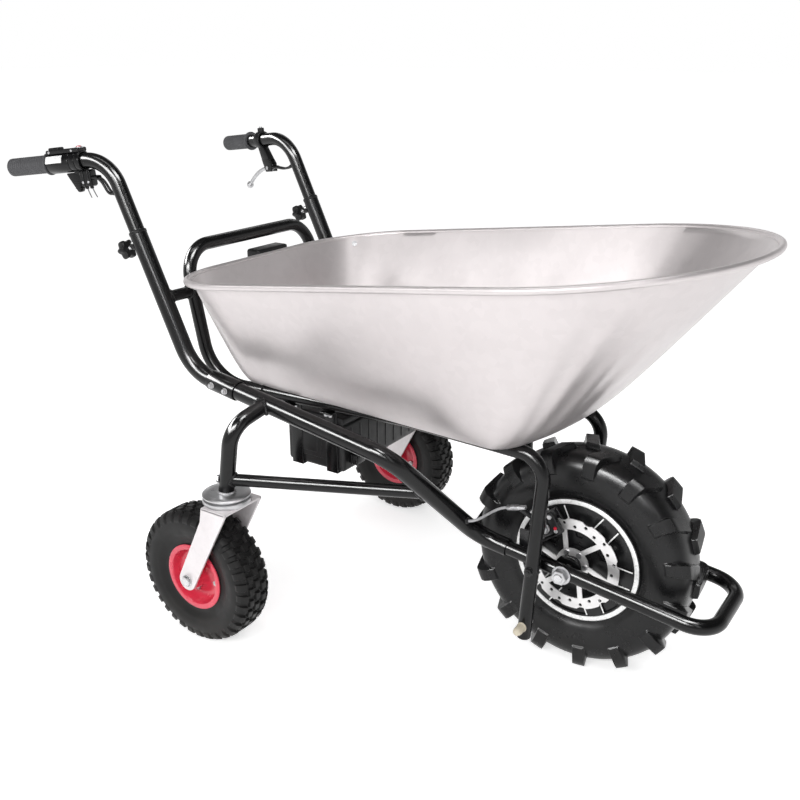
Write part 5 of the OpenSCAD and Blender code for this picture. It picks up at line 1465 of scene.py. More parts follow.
@dataclass
class Brake:
    """Cable disc brake on the right of the front wheel, drawn on the left and mirrored."""

    layout: Layout
    angle: float = 127.0
    pivot_r: float = 79.05
    face: float = 71.5

    @property
    def adjuster(self) -> tuple[Array, Array]:
        """Rear and front end of the cable's adjuster."""
        r = self.layout.wheel_r
        return np.array([-116, 81.5, r + 87.0]), np.array([-82, 80.5, r + 96.0])

    def at_caliper(self, *shapes: Surface) -> list[Surface]:
        """Shapes drawn with X outward from the axle, put at the caliper on the right side."""
        turn, at = about(ACROSS, -self.angle)[0], (0, 0, self.layout.wheel_r)
        return [shape.moved(turn, at).flipped(Side.RIGHT) for shape in shapes]

    def build(self, shop: Shop) -> None:
        """Makes the caliper, its arm, the cable stop and the cable."""
        l = self.layout
        halves = [
            block([42.0, 11.0, 52.0], (79.0, 65.9, 0), 3.0),
            block([42.0, 6.6, 52.0], (79.0, 46.4, 0), 2.5),
            block([13.0, 28.2, 50.0], (93.8, 57.2, 0), 2.5),
            block([8.0, 10.0, 40.0], (62.0, 66.4, 0), 2.0),
        ]
        body = self.at_caliper(*halves)
        mount = block([32, 3.4, 50], (-78.0, 73.2, l.wheel_r + 25.0), 1.0)
        neck = rod((-66, 67, l.wheel_r + 70), (-96, 80.5, l.wheel_r + 93), 4.5, 0.5)
        body += [mount.flipped(Side.RIGHT), neck.flipped(Side.RIGHT)]
        shop.add("caliper_cast_body", body, Coat.CALIPER, "frame", ["caliper_body"])
        rear, front = self.adjuster
        run = float(np.linalg.norm(front - rear))
        ribs = [[5.5 - 0.6 * (k % 2), 8 + k * 0.9] for k in range(16)]
        barrel = spin([[0, 0], [4.6, 0], [5.2, 1], [5.2, 7]] + ribs + [[4.4, 24], [4.4, run], [0, run]], rear,
                      front - rear, 32)
        shop.add("cable_adjuster", barrel.flipped(Side.RIGHT), Coat.ZINC, "frame")
        screws = []
        for z in (-19.0, 19.0):
            screws.append(hexagon((93.0, 71.3, z), ACROSS, 4.6, 3.0))
            screws.append(rod((66.0, 71.2, z * 0.8), (66.0, 72.6, z * 0.8), 3.6, 0.5))
        shop.add("caliper_screws", self.at_caliper(*screws), Coat.ZINC, "frame")
        dot = spin([[0, 2.6], [2.2, 2.4], [3.0, 1.4], [3.0, -1], [0, -1]], (71.0, 71.5, -17.5), ACROSS, 24)
        shop.add("caliper_red_cap", self.at_caliper(dot), Coat.RED_PLASTIC, "frame")
        self.arm(shop)
        self.wire(shop)

    def arm(self, shop: Shop) -> None:
        """The caliper's arm on its pin, with a clamp screw for the cable's end."""
        y, turn = self.face + 0.3, about(ACROSS, 22.0)[0]
        a = np.radians(np.linspace(-90, 90, 9))
        tip = [(42.0 + 5.0 * c, 5.0 * s) for c, s in zip(np.cos(a), np.sin(a))]
        outline = [(0, -6.4), *tip, (0, 6.4)]
        hub = np.array([self.pivot_r, 0.0, 0.0])
        pin = rounded([[0, -8.6], [5, -8.6], [5, 0.1], [9.6, 0.1], [9.6, 4.8], [0, 4.8]], 0.8)
        parts = [plate(outline, 4.6, 0.7).moved(turn, hub + (y + 2.5) * ACROSS),
                 spin(pin, hub + y * ACROSS, ACROSS, 40)]
        shop.add("caliper_arm_lever", self.at_caliper(*parts), Coat.ZINC, "caliper_arm", ["caliper_arm"])
        clamp = hexagon(hub + turn @ np.array([40.0, 0, 0]) + (y + 4.7) * ACROSS, ACROSS, 4.4, 3.4)
        cap = hexagon(hub + (y + 4.7) * ACROSS, ACROSS, 6.0, 2.8)
        shop.add("caliper_arm_screws", self.at_caliper(clamp, cap), Coat.STEEL, "caliper_arm")

    def wire(self, shop: Shop) -> None:
        """Cable from the slanted main tube to the adjuster."""
        l = self.layout
        _, kink, arm, _ = l.main_line
        d = unit(arm - kink)
        out = unit(AHEAD - d * d[0])
        start = kink + (arm - kink) * 0.79 + out * (l.main_r + l.gap)
        rear, front = self.adjuster
        run = unit(front - rear)
        line = bezier(start, 30 * out, rear - l.gap * run, -30 * run) * MIRROR
        cable(shop, "brake_cable_outer", line, 2.5, Coat.GREY_CABLE, "frame", ["brake_cable"])
        grommet = spin([[2.7, 3.4], [4.2, 3.0], [5.6, 1.2], [6.0, -1], [2.7, -1]],
                       (start - out * l.gap) * MIRROR, out * MIRROR, 28, closed=True)
        shop.add("brake_cable_grommet", grommet, Coat.PLASTIC, "frame")


@dataclass
class Casters:
    """Two trailing casters: swivel plates, bent fork straps, red rims and block-tread tyres."""

    layout: Layout
    trail: float = 67.0
    wheel_r: float = 130.0
    head_r: float = 43.0
    web_h: float = 291.0
    knee_h: float = 262.0
    strap_t: float = 5.0
    fork_half: float = 43.0

    def build(self, shop: Shop) -> None:
        """Makes both casters."""
        stems = []
        for side in Side:
            stems += self.stem(side)
            self.fork(shop, side)
            self.wheel(shop, side)
        shop.add("caster_swivel_heads", stems, Coat.ZINC, "frame", ["caster_stems"])

    def pivot(self, side: Side) -> Array:
        """Foot of the swivel's axis on the ground."""
        return np.array([self.layout.pivot[0], side.value * self.layout.pivot[1], 0.0])

    def stem(self, side: Side) -> list[Surface]:
        """Upper plate with its weld collar, the king pin and its nut."""
        p, r = self.pivot(side), self.head_r
        head = [[0, 309], [15, 309], [30, 309], [r - 2.5, 308.4], [r, 306.6], [r, 304.6], [r - 1.4, 303],
                [9, 303], [9, 286], [9, 276], [0, 276]]
        nut = hexagon(p + np.array([0, 0, 285.4]), -UP, 17.0, 9.6)
        circle = np.stack([14.4 * np.cos(RING), 14.4 * np.sin(RING), np.full_like(RING, 309.4)], 1)
        collar = ring_bead(p + circle, 2.6 * (1 + 0.14 * np.sin(26 * RING)))
        return [spin(head, p, UP, 72), nut, collar]

    def fork(self, shop: Shop, side: Side) -> None:
        """Lower race plate, web, two straps with rounded ends, and the axle bolt."""
        p, r = self.pivot(side), self.head_r
        race = [[10.1, 302.6], [34, 302.6], [38.5, 301.6], [r - 0.4, 298.6], [r, 296], [r, 292.4],
                [r - 2, 289.6], [10.1, 289.6]]
        crown = spin(race, p, UP, 72, closed=True)
        axle = np.array([-self.trail, self.wheel_r])
        d = unit(axle - np.array([0.0, self.knee_h]))
        n = np.array([-d[1], d[0]]) * 19.0
        a = np.radians(np.linspace(0, 180, 13))[:, None]
        end = axle + np.cos(a) * n + np.sin(a) * d * 19.0
        outline = [(-18.0, self.web_h - 1.0), (38.0, self.web_h - 1.0), (38.0, self.web_h - self.strap_t),
                   *map(tuple, end), (-23.0, self.knee_h)]
        outline = outline[::-1]
        y = self.fork_half + self.strap_t / 2
        straps = [plate(outline, self.strap_t, 0.9).moved(None, p + s * y * ACROSS) for s in (-1, 1)]
        middle = p + np.array([10.0, 0, self.web_h - self.strap_t / 2])
        web = block([56.0, 2 * (self.fork_half + self.strap_t), self.strap_t], middle, 1.4)
        w = side.word
        shop.add(f"{w}_caster_fork_pressed", [web, *straps], Coat.FORK, f"{w}_caster", [f"{w}_caster_fork"])
        shop.add(f"{w}_caster_race", crown, Coat.ZINC, f"{w}_caster")
        mid = p + np.array([-self.trail, 0, self.wheel_r])
        bolt = [rod(mid - 48 * ACROSS, mid + 48 * ACROSS, 6.0)]
        for s in (-1, 1):
            at = mid + s * 48.0 * ACROSS
            bolt.append(washer(5.0, 11.8, 1.4, at, s * ACROSS))
            bolt.append(hexagon(at + s * 1.4 * ACROSS, s * ACROSS, 10.4, 4.4))
        shop.add(f"{w}_caster_axle_bolt", bolt, Coat.STEEL, f"{w}_caster", [f"{w}_caster_axle"])

    def wheel(self, shop: Shop, side: Side) -> None:
        """Red pressed rim with its bolts, and the tyre."""
        w = side.word
        mid = self.pivot(side) + np.array([-self.trail, 0, self.wheel_r])
        face = [[16.1, 42.6], [19.2, 42.6], [20, 41.8], [20.4, 25], [23, 16], [29, 10.5], [37, 7.6],
                [45, 8.4], [49.6, 12.4], [51.6, 19], [52.6, 28], [54.4, 31.2], [57, 32], [62.6, 32],
                [64, 31], [64, 29.2], [62.8, 28.2], [58.7, 28.1]]
        rim = spin(face + [[r, -y] for r, y in face[::-1]], mid, ACROSS, 96, closed=True)
        body = f"{w}_caster_wheel"
        shop.add(f"{w}_caster_rim_pressed", rim, Coat.RED_RIM, body, [f"{w}_caster_rim"])
        bolts = []
        for s in (-1, 1):
            nut = merge([hexagon((37.0, s * 7.6, 0), s * ACROSS, 6.2, 5.0),
                         rod((37.0, s * 12.0, 0), (37.0, s * 14.6, 0), 2.8, 0.6, 16)])
            bolts.append(copies(nut, about(ACROSS, np.arange(4) * 90.0 + 20.0), ORIGIN).moved(None, mid))
        shop.add(f"{w}_caster_rim_bolts", bolts, Coat.ZINC, body)
        valve = rod((51.0, 8, 0), (47.0, 27, 0), 3.0, 0.6, 20).moved(about(ACROSS, 65.0)[0], mid)
        shop.add(f"{w}_caster_valve", valve, Coat.PLASTIC, body)
        rows = [TreadRow(-1.0, 0.85, 0.0, 0.0), TreadRow(1.35, 2.9, 0.5, 0.5), TreadRow(3.4, 5.9, 0.0, 0.0)]
        tyre = TreadedTyre(mid, CASTER_CARCASS, CASTER_TOPS, 34, 14.5, 9.0, rows, 84.0)
        shop.add(f"{w}_caster_tyre_blocked", tyre.surface(), Coat.SMALL_TYRE, body, [f"{w}_caster_tyre"],
                 smooth=50.0)


@dataclass
class Handles:
    """Sliding handle bars with grips, throttle, brake lever, cables and clamp knobs."""

    layout: Layout
    grip_r: float = 16.5
    housing: tuple[float, float, float, float] = (97.0, 149.0, 162.0, 173.0)
    housing_r: float = 19.0
    perch_x: float = 125.0
    lever_at: tuple[float, float, float] = (155.0, 0.0, -62.0)

    def build(self, shop: Shop) -> None:
        """Makes both handles."""
        for side in Side:
            self.bar(shop, side)
            self.knob(shop, side)
        self.throttle(shop)
        self.brake_lever(shop)
        self.cables(shop)

    def local(self, side: Side, *shapes: Surface) -> list[Surface]:
        """Shapes drawn in the grip's frame, put on their handle."""
        turn, at = self.layout.grip_frame(side)
        return [shape.moved(turn, at) for shape in shapes]

    def bar(self, shop: Shop, side: Side) -> None:
        """Bent bar with its rubber grip."""
        l, w = self.layout, side.word
        turn, _ = l.grip_frame(Side.LEFT)
        foot, end = l.post_top - 150.0 * l.post_dir, l.grip_tip + 4.0 * turn[:, 0]
        line = bent([foot, l.bar_corner, end], [70], 28)
        shop.add(f"{w}_handle_bar_bent", tube(line, l.bar_r, l.bar_r - l.wall).flipped(side), Coat.FRAME,
                 f"{w}_handle", [f"{w}_handle_bar"])
        x = np.linspace(8.0, 84.0, 153)
        ribs = self.grip_r - 0.9 * (0.5 + 0.5 * np.cos(x * 2 * math.pi / 5.0)) ** 2
        line = [[0, 0], [9, 0.1], [14, 1.2], [16.2, 3.6], [16.5, 6.6], *np.stack([ribs, x], 1).tolist(),
                [16.5, 87], [17.4, 89.4], [20, 91.2], [20.5, 92.4], [20.5, 94], [19.6, 95], [14.1, 95],
                [14.1, 4], [0, 4]]
        grip = spin(line, ORIGIN, AHEAD, 56)
        shop.add(f"{w}_grip_ribbed", self.local(side, grip), Coat.GRIP, f"{w}_handle", [f"{w}_grip"],
                 smooth=60.0)

    def sleeve(self, x0: float, x1: float, r: float, bore: float, soft: float) -> Surface:
        """Ring round the bar between two places along it."""
        line = [[bore, x0], [r, x0], [r, x1], [bore, x1], [bore, x0]]
        return turned(line, soft, ORIGIN, AHEAD, 56)

    def throttle(self, shop: Shop) -> None:
        """Throttle housing with its switch pod and button, the thumb paddle, and a pale strip on the housing
        that is a painted highlight.
        """
        side, (a, b, c, d) = Side.RIGHT, self.housing
        sleeves = [self.sleeve(a, b, self.housing_r, 14.1, 1.4), self.sleeve(c, d, self.housing_r, 14.1, 1.4),
                   block([24.0, 20.0, 29.2], (c + 12.0, 0, -31.4), 3.2, 4)]
        shop.add("throttle_sleeves", self.local(side, *sleeves), Coat.GLOSS_PLASTIC, "right_handle",
                 ["throttle_housing"])
        pod = block([d - a - 1.0, 26, 8], ((a + d) / 2, 0, 20.0), 2.6, 4)
        nub = block([24.0, 17, 6], (a + 16.0, 0, 25.0), 2.4)
        shop.add("switch_pod", self.local(side, pod, nub), Coat.PLASTIC, "right_handle")
        bezel = spin([[5.2, 23.0], [7.4, 23.0], [7.2, 24.8], [6.4, 25.4], [5.2, 25.2]], (166.0, 0, 0), UP,
                     32, closed=True)
        screws = [rod((x, -13.2, 20.0), (x, -12.4, 20.0), 2.4, 0.3, 20) for x in (a + 8.0, d - 16.0)]
        screws += [rod((c + x, s * 9.4, -38.0), (c + x, s * 10.8, -38.0), 2.6, 0.4, 20)
                   for x in (6.0, 18.0) for s in (-1, 1)]
        shop.add("switch_pod_trim", self.local(side, bezel, *screws), Coat.STEEL, "right_handle")
        button = spin([[0, 27.3], [2.4, 27.1], [4.2, 26.4], [4.9, 25.2], [4.9, 22.4], [0, 22.4]],
                      (166.0, 0, 0), UP, 32)
        shop.add("red_push_button", self.local(side, button), Coat.RED_PLASTIC, "button", ["red_button"])
        outline = [(129.4, -19.8), (161.4, -19.8), (161.4, -32.4), (158.6, -44.0), (155.2, -55.4),
                   (149.4, -55.4), (139.6, -38.0)]
        parts = [self.sleeve(b + 0.4, c - 0.4, 18.6, 14.4, 0.8), plate(outline[::-1], 14.0, 2.6),
                 block([11.6, 13.6, 7.0], (155.5, 0, -18.2), 0.6)]
        grooves = [block([14.0, 14.6, 1.4], (149.5 + k, 0, -36.0 - 4.0 * k), 0.5) for k in range(4)]
        shop.add("thumb_paddle", self.local(side, *parts, *grooves), Coat.GLOSS_PLASTIC, "throttle",
                 ["throttle_paddle"])
        bands, tails = [], []
        for x, slip in ((c + 8.0, 3.0), (c + 19.0, 4.0)):
            bands.append(block([4.4, 21.4, 30.6], (x, 0, -31.4), 3.4))
            bands.append(block([5.0, 5.6, 4.6], (x, -4.0, -48.2), 0.8))
            tail = smooth_line([(x, -4, -47), (x + slip, -4.4, -57), (x + 2 * slip, -4.0, -67)], 8)
            tails.append(sweep(tail, np.linspace(1.7, 1.2, len(tail)), 8, 0.5))
        shop.add("cable_tie_bands", self.local(side, *bands), Coat.PLASTIC, "right_handle")
        shop.add("cable_tie_tails", self.local(side, *tails), Coat.TIE, "right_handle")
        # Painted highlight: a pale strip in the machined finish over the housing's upper outer side stands
        # for the glossy sleeve's reflection of a bright light.
        turn = np.radians(np.linspace(47.0, 88.0, 13))
        face = np.array([[18.9, a + 1.4], [19.5, a + 1.4], [19.5, b - 14.0], [18.9, b - 14.0]])
        grid = np.stack([np.broadcast_to(face[:, 1], (13, 4)), -face[:, 0] * np.sin(turn)[:, None],
                         face[:, 0] * np.cos(turn)[:, None]], -1)
        faces = grid_faces(13, 4, False, True) + [[0, 1, 2, 3], [51, 50, 49, 48]]
        shop.add("housing_painted_highlight", self.local(side, Surface(grid.reshape(-1, 3), faces)), Coat.MACHINED,
                 "right_handle")

    def brake_lever(self, shop: Shop) -> None:
        """Clamp with two cheeks and its pin, and the lever with a ball end."""
        side, hub = Side.LEFT, np.array(self.lever_at)
        root = [(125.4, -13.0), (142.6, -13.0), (162.0, -44.4), (136.0, -44.4)]
        cheek = [(135.0, -42.0), (160.0, -42.0), (167.8, -53.0), (167.8, -70.8), (146.2, -70.8)]
        parts = [self.sleeve(self.perch_x, self.perch_x + 18.0, self.housing_r, 14.1, 1.6),
                 plate(root[::-1], 17.6, 2.0)]
        parts += [plate(cheek[::-1], 4.4, 1.2).moved(None, (0, y, 0)) for y in (-6.7, 6.7)]
        parts.append(block([16.0, 8.0, 13.0], (134.0, 0, 20.0), 1.6))
        shop.add("lever_clamp", self.local(side, *parts), Coat.PLASTIC, "left_handle", ["brake_perch"])
        pins = [hexagon(hub + y * ACROSS, np.sign(y) * ACROSS, 4.6, 2.6) for y in (-8.9, 8.9)]
        pins += [rod((134.0, 0, 26.0), (134.0, 0, 29.0), 3.4, 0.6),
                 rod(hub - 9 * ACROSS, hub + 9 * ACROSS, 2.9)]
        shop.add("lever_clamp_screws", self.local(side, *pins), Coat.ZINC, "left_handle")
        line = smooth_line([hub, hub + (-24, 0, -2.0), hub + (-46, 0, -9.0), hub + (-67, 0, -21.0),
                            hub + (-86, 0, -36.0)], 12)
        r = np.interp(np.linspace(0, 1, len(line)), [0, 0.2, 0.7, 1], [3.7, 3.9, 4.2, 4.0])
        a = np.radians(np.linspace(-90, 90, 17))
        ball = spin(np.stack([7.9 * np.cos(a), 7.9 * np.sin(a)], 1), hub + (-86, 0, -36), (1, 0, 0.7), 32)
        eye = turned([[3.1, -4], [7.9, -4], [7.9, 4], [3.1, 4], [3.1, -4]], 0.7, hub, ACROSS, 36)
        shop.add("brake_lever_blade", self.local(side, sweep(line, r, 24), ball, eye), Coat.CAST,
                 "lever", ["brake_lever"])

    def cables(self, shop: Shop) -> None:
        """Two cables on each handle, from the control into the bar's straight leg."""
        l = self.layout
        starts = {Side.RIGHT: (186.0, -31.4), Side.LEFT: (168.0, -62.0)}
        entry = l.bar_corner - 60.0 * l.post_dir + (l.bar_r + l.gap) * l.knob_dir
        grommets: dict[Side, list[Surface]] = {side: [] for side in Side}
        for side, (x, z) in starts.items():
            turn, at = l.grip_frame(side)
            for k, s in enumerate((-1, 1)):
                a = at + turn @ np.array([x + l.gap, 4.0 * s, z])
                b = entry * side.flip + 4.0 * s * ACROSS
                line = bezier(a, 30 * turn[:, 0], b, 30 * l.knob_dir)
                stands = [f"{side.word}_cables"] if k == 0 else []
                cable(shop, f"{side.word}_control_cable_{k + 1}", line, 2.5, Coat.CABLE,
                      f"{side.word}_handle", stands)
                grommets[side].append(spin([[2.6, 4.0], [3.6, 3.8], [4.0, 2.0], [4.0, -2], [2.6, -2]], b,
                                           l.knob_dir, 24, closed=True))
                grommets[side].append(spin([[2.6, 12], [3.2, 11.6], [3.9, 6], [3.9, -0.6], [2.6, -0.6]], a,
                                           turn[:, 0], 24, closed=True))
        for side, parts in grommets.items():
            shop.add(f"{side.word}_cable_boots", parts, Coat.GLOSS_PLASTIC, f"{side.word}_handle")

    def knob(self, shop: Shop, side: Side) -> None:
        """Star knob: a profile whose radius swells at six lobes, on a threaded stud."""
        l, w = self.layout, side.word
        line = np.array([[0, 36], [0.5, 36], [0.86, 36.8], [0.97, 38.4], [1, 41], [1, 48], [0.97, 50.6],
                         [0.88, 52.6], [0.7, 53.7], [0.46, 54], [0.42, 53.4], [0.4, 52.6], [0, 52.6]])
        a = np.linspace(0, 2 * math.pi, 120, endpoint=False)[:, None]
        r = 16.2 * (1 + 0.155 * np.cos(6 * a) * np.clip(line[:, 0] * 1.6 - 0.6, 0, 1)) * line[:, 0]
        grid = np.stack([r * np.cos(a), r * np.sin(a), np.broadcast_to(line[:, 1], r.shape)], -1)
        star = Surface(grid.reshape(-1, 3), grid_faces(120, len(line), True, False))
        seat = l.knob_seat * side.flip
        star = star.moved(axes_to(l.knob_dir), seat)
        shop.add(f"{w}_star_knob", star, Coat.PLASTIC, f"{w}_knob", [f"{w}_knob"])
        thread = [[4.0 - 0.4 * (k % 2), 14.4 + 0.8 * k] for k in range(28)]
        stud = spin([[0, 14.4], *thread, [0, 36.8]], seat, l.knob_dir, 24)
        shop.add(f"{w}_knob_stud", stud, Coat.ZINC, f"{w}_knob")


@dataclass
class Electrics:
    """Battery case in its cradle, motor controller and key box."""

    layout: Layout
    case_rear: float = -560.0
    case_front: float = -428.0
    case_half: float = 138.0
    case_low: float = 299.94
    case_h: float = 108.0
    lid_h: float = 14.0
    box_front: float = -300.0

    def build(self, shop: Shop) -> None:
        """Makes the boxes."""
        self.battery(shop)
        self.cradle(shop)
        self.controller(shop)
        self.key_box(shop)

    def battery(self, shop: Shop) -> None:
        """Moulded case with a lid, ribs, raised panels and two plugs."""
        x, l = (self.case_rear + self.case_front) / 2, self.case_front - self.case_rear
        top, w = self.case_low + self.case_h, 2 * self.case_half
        low = self.case_h - self.lid_h
        parts = [block([l, w, low], (x, 0, self.case_low + low / 2), 7.0, 4),
                 block([l, w, self.lid_h - 0.6], (x, 0, top - self.lid_h / 2 + 0.3), 4.0, 4),
                 block([l - 6, w - 6, 6.0], (x, 0, top - self.lid_h), 1.0)]
        for side in Side:
            y = side.value * self.case_half
            parts.append(block([62.0, 2.6, 54.0], (x - 16.0, y, self.case_low + 46.0), 1.2))
            parts.append(block([44.0, 3.8, 36.0], (x - 16.0, y, self.case_low + 46.0), 1.4))
            parts += [block([4.0, 2.4, 74.0], (x + k, y, self.case_low + 47.0), 1.0)
                      for k in (34.0, 46.0, 58.0)]
            parts.append(block([24.0, 3.0, 20.0], (x - 16.0, y, top - 14.0), 1.2))
        ends = [block([2.4, 4.0, 74.0], (e, y, self.case_low + 47.0), 1.0)
                for e in (self.case_rear, self.case_front) for y in np.linspace(-112, 112, 9)]
        shop.add("battery_case_moulded", parts + ends, Coat.PLASTIC, "frame", ["battery_case"])
        plugs = []
        for y in (-108.0, -70.0):
            plugs.append(block([20.0, 26.0, 18.0], (self.case_front + 8.0, y, self.case_low + 24.0), 2.4))
            plugs += [block([3.0, 28.0, 20.0], (self.case_front + k, y, self.case_low + 24.0), 0.8)
                      for k in (6, 11, 16)]
        shop.add("battery_plugs", plugs, Coat.GLOSS_PLASTIC, "frame")

    def cradle(self, shop: Shop) -> None:
        """Two straps under the case, hung from the rails, with their screws."""
        l, parts, screws = self.layout, [], []
        low = self.case_low - 3.0
        for x in (-535.0, -453.0):
            rail = l.rail_at(x + 13.0)
            top, reach = rail[2] - l.rail_r, l.rail_at(x - 13.0)[1] + l.rail_r
            parts.append(block([26, 2 * self.case_half + 6, 3], (x, 0, low + 1.5), 0.8))
            for s in (-1, 1):
                parts.append(block([26, 3, top - low], (x, s * (self.case_half + 1.5), (top + low) / 2), 0.8))
                width = reach - self.case_half
                parts.append(block([26, width, 3], (x, s * (self.case_half + width / 2), top - 1.5), 0.8))
                at = np.array([x, s * (self.case_half + width * 0.72), top - 3.0])
                screws.append(hexagon(at, -UP, 6.0, 4.0))
                side = np.array([x, s * (self.case_half + 3.0), top - 9.0])
                screws.append(hexagon(side, s * ACROSS, 5.0, 3.4))
        shop.add("battery_straps", parts, Coat.FRAME, "frame", ["battery_cradle"])
        shop.add("battery_strap_screws", screws, Coat.ZINC, "frame")

    def controller(self, shop: Shop) -> None:
        """Finned box under the floor with two cable glands."""
        l = self.layout
        turn, front = about(ACROSS, l.floor_slope)[0], self.box_front
        at = np.array([front, 0.0, l.floor_z(front) - l.gap])
        parts = [block([100, 140, 42], (-50, 0, -21), 3.0)]
        parts += [block([3, 138, 9], (-100 + k * 100 / 7 + 1.5, 0, -45.5), 0.9) for k in range(1, 7)]
        shop.add("controller_finned", [p.moved(turn, at) for p in parts], Coat.PLASTIC, "frame",
                 ["controller_box"])
        glands = []
        for y in (-40.0, 0.0, 40.0):
            glands.append(hexagon((-100.0, y, -20.0), -AHEAD, 9.0, 5.0))
            glands.append(spin([[0, 14], [5.0, 14], [6.6, 11], [7.2, 5], [0, 5]], (-100.0, y, -20.0),
                               -AHEAD, 24))
        shop.add("controller_glands", [g.moved(turn, at) for g in glands], Coat.GLOSS_PLASTIC, "frame")

    def key_box(self, shop: Shop) -> None:
        """Box behind the tray with its rib, key lock and charge socket."""
        x0, x1, low, top = -775.3, -741.3, 602.0, 658.0
        parts = [block([x1 - x0, 90, top - low], ((x0 + x1) / 2, 53.0, (top + low) / 2), 4.5, 4),
                 block([3.0, 84, top - low - 8], (x0 - 0.2, 53.0, (top + low) / 2), 1.2)]
        rib = [(x1 - 1.0, low + 0.4), (-711.4, low + 0.4), (-719.6, low + 25.6), (x1 - 1.0, low + 25.6)]
        parts.append(plate(rib[::-1], 45.4, 1.0).moved(None, (0, 53.0, 0)))
        shop.add("key_box_moulded", parts, Coat.PLASTIC, "frame", ["key_box"])
        back = np.array([x0 - 1.6, 74.0, 632.0])
        ring = rounded([[0, 3.2], [9.5, 3.2], [11, 2.2], [11, -1], [0, -1]], 0.5)
        lock = [spin(ring, back, -AHEAD, 40),
                spin([[0, 5], [6.6, 5], [7, 4.4], [7, 3], [0, 3]], back, -AHEAD, 32)]
        shop.add("key_lock", lock, Coat.ZINC, "frame")
        key = [block([9.0, 2.2, 6.0], back + (-8.0, 0, 0), 0.6),
               block([12.0, 3.6, 20.0], back + (-16.0, 0, 0), 1.4)]
        shop.add("ignition_key", key, Coat.GLOSS_PLASTIC, "frame")
        cap = spin([[0, 4.2], [7.5, 4.0], [9.2, 2.8], [9.6, 0.6], [9.6, -1], [0, -1]], back + (0, -42.0, 0),
                   -AHEAD, 36)
        lamp = spin([[0, 2.4], [2.4, 2.0], [3.4, 0.6], [3.4, -1], [0, -1]], back + (0, -20.0, 12.0),
                    -AHEAD, 24)
        shop.add("charge_socket_cap", cap, Coat.GLOSS_PLASTIC, "frame")
        shop.add("power_lamp", lamp, Coat.RED_PLASTIC, "frame")


@dataclass(frozen=True)
class SoftLight:
    """A flat studio lamp.

    Args:
        name: the lamp's name.
        at: its place in metres.
        to: the point that it faces.
        size: its width and height in metres.
        power: its power in watts.
        gloss: pieces that it shows on, only as a reflection.
    """

    name: str
    at: tuple[float, float, float]
    to: tuple[float, float, float]
    size: tuple[float, float]
    power: float
    gloss: str = ""


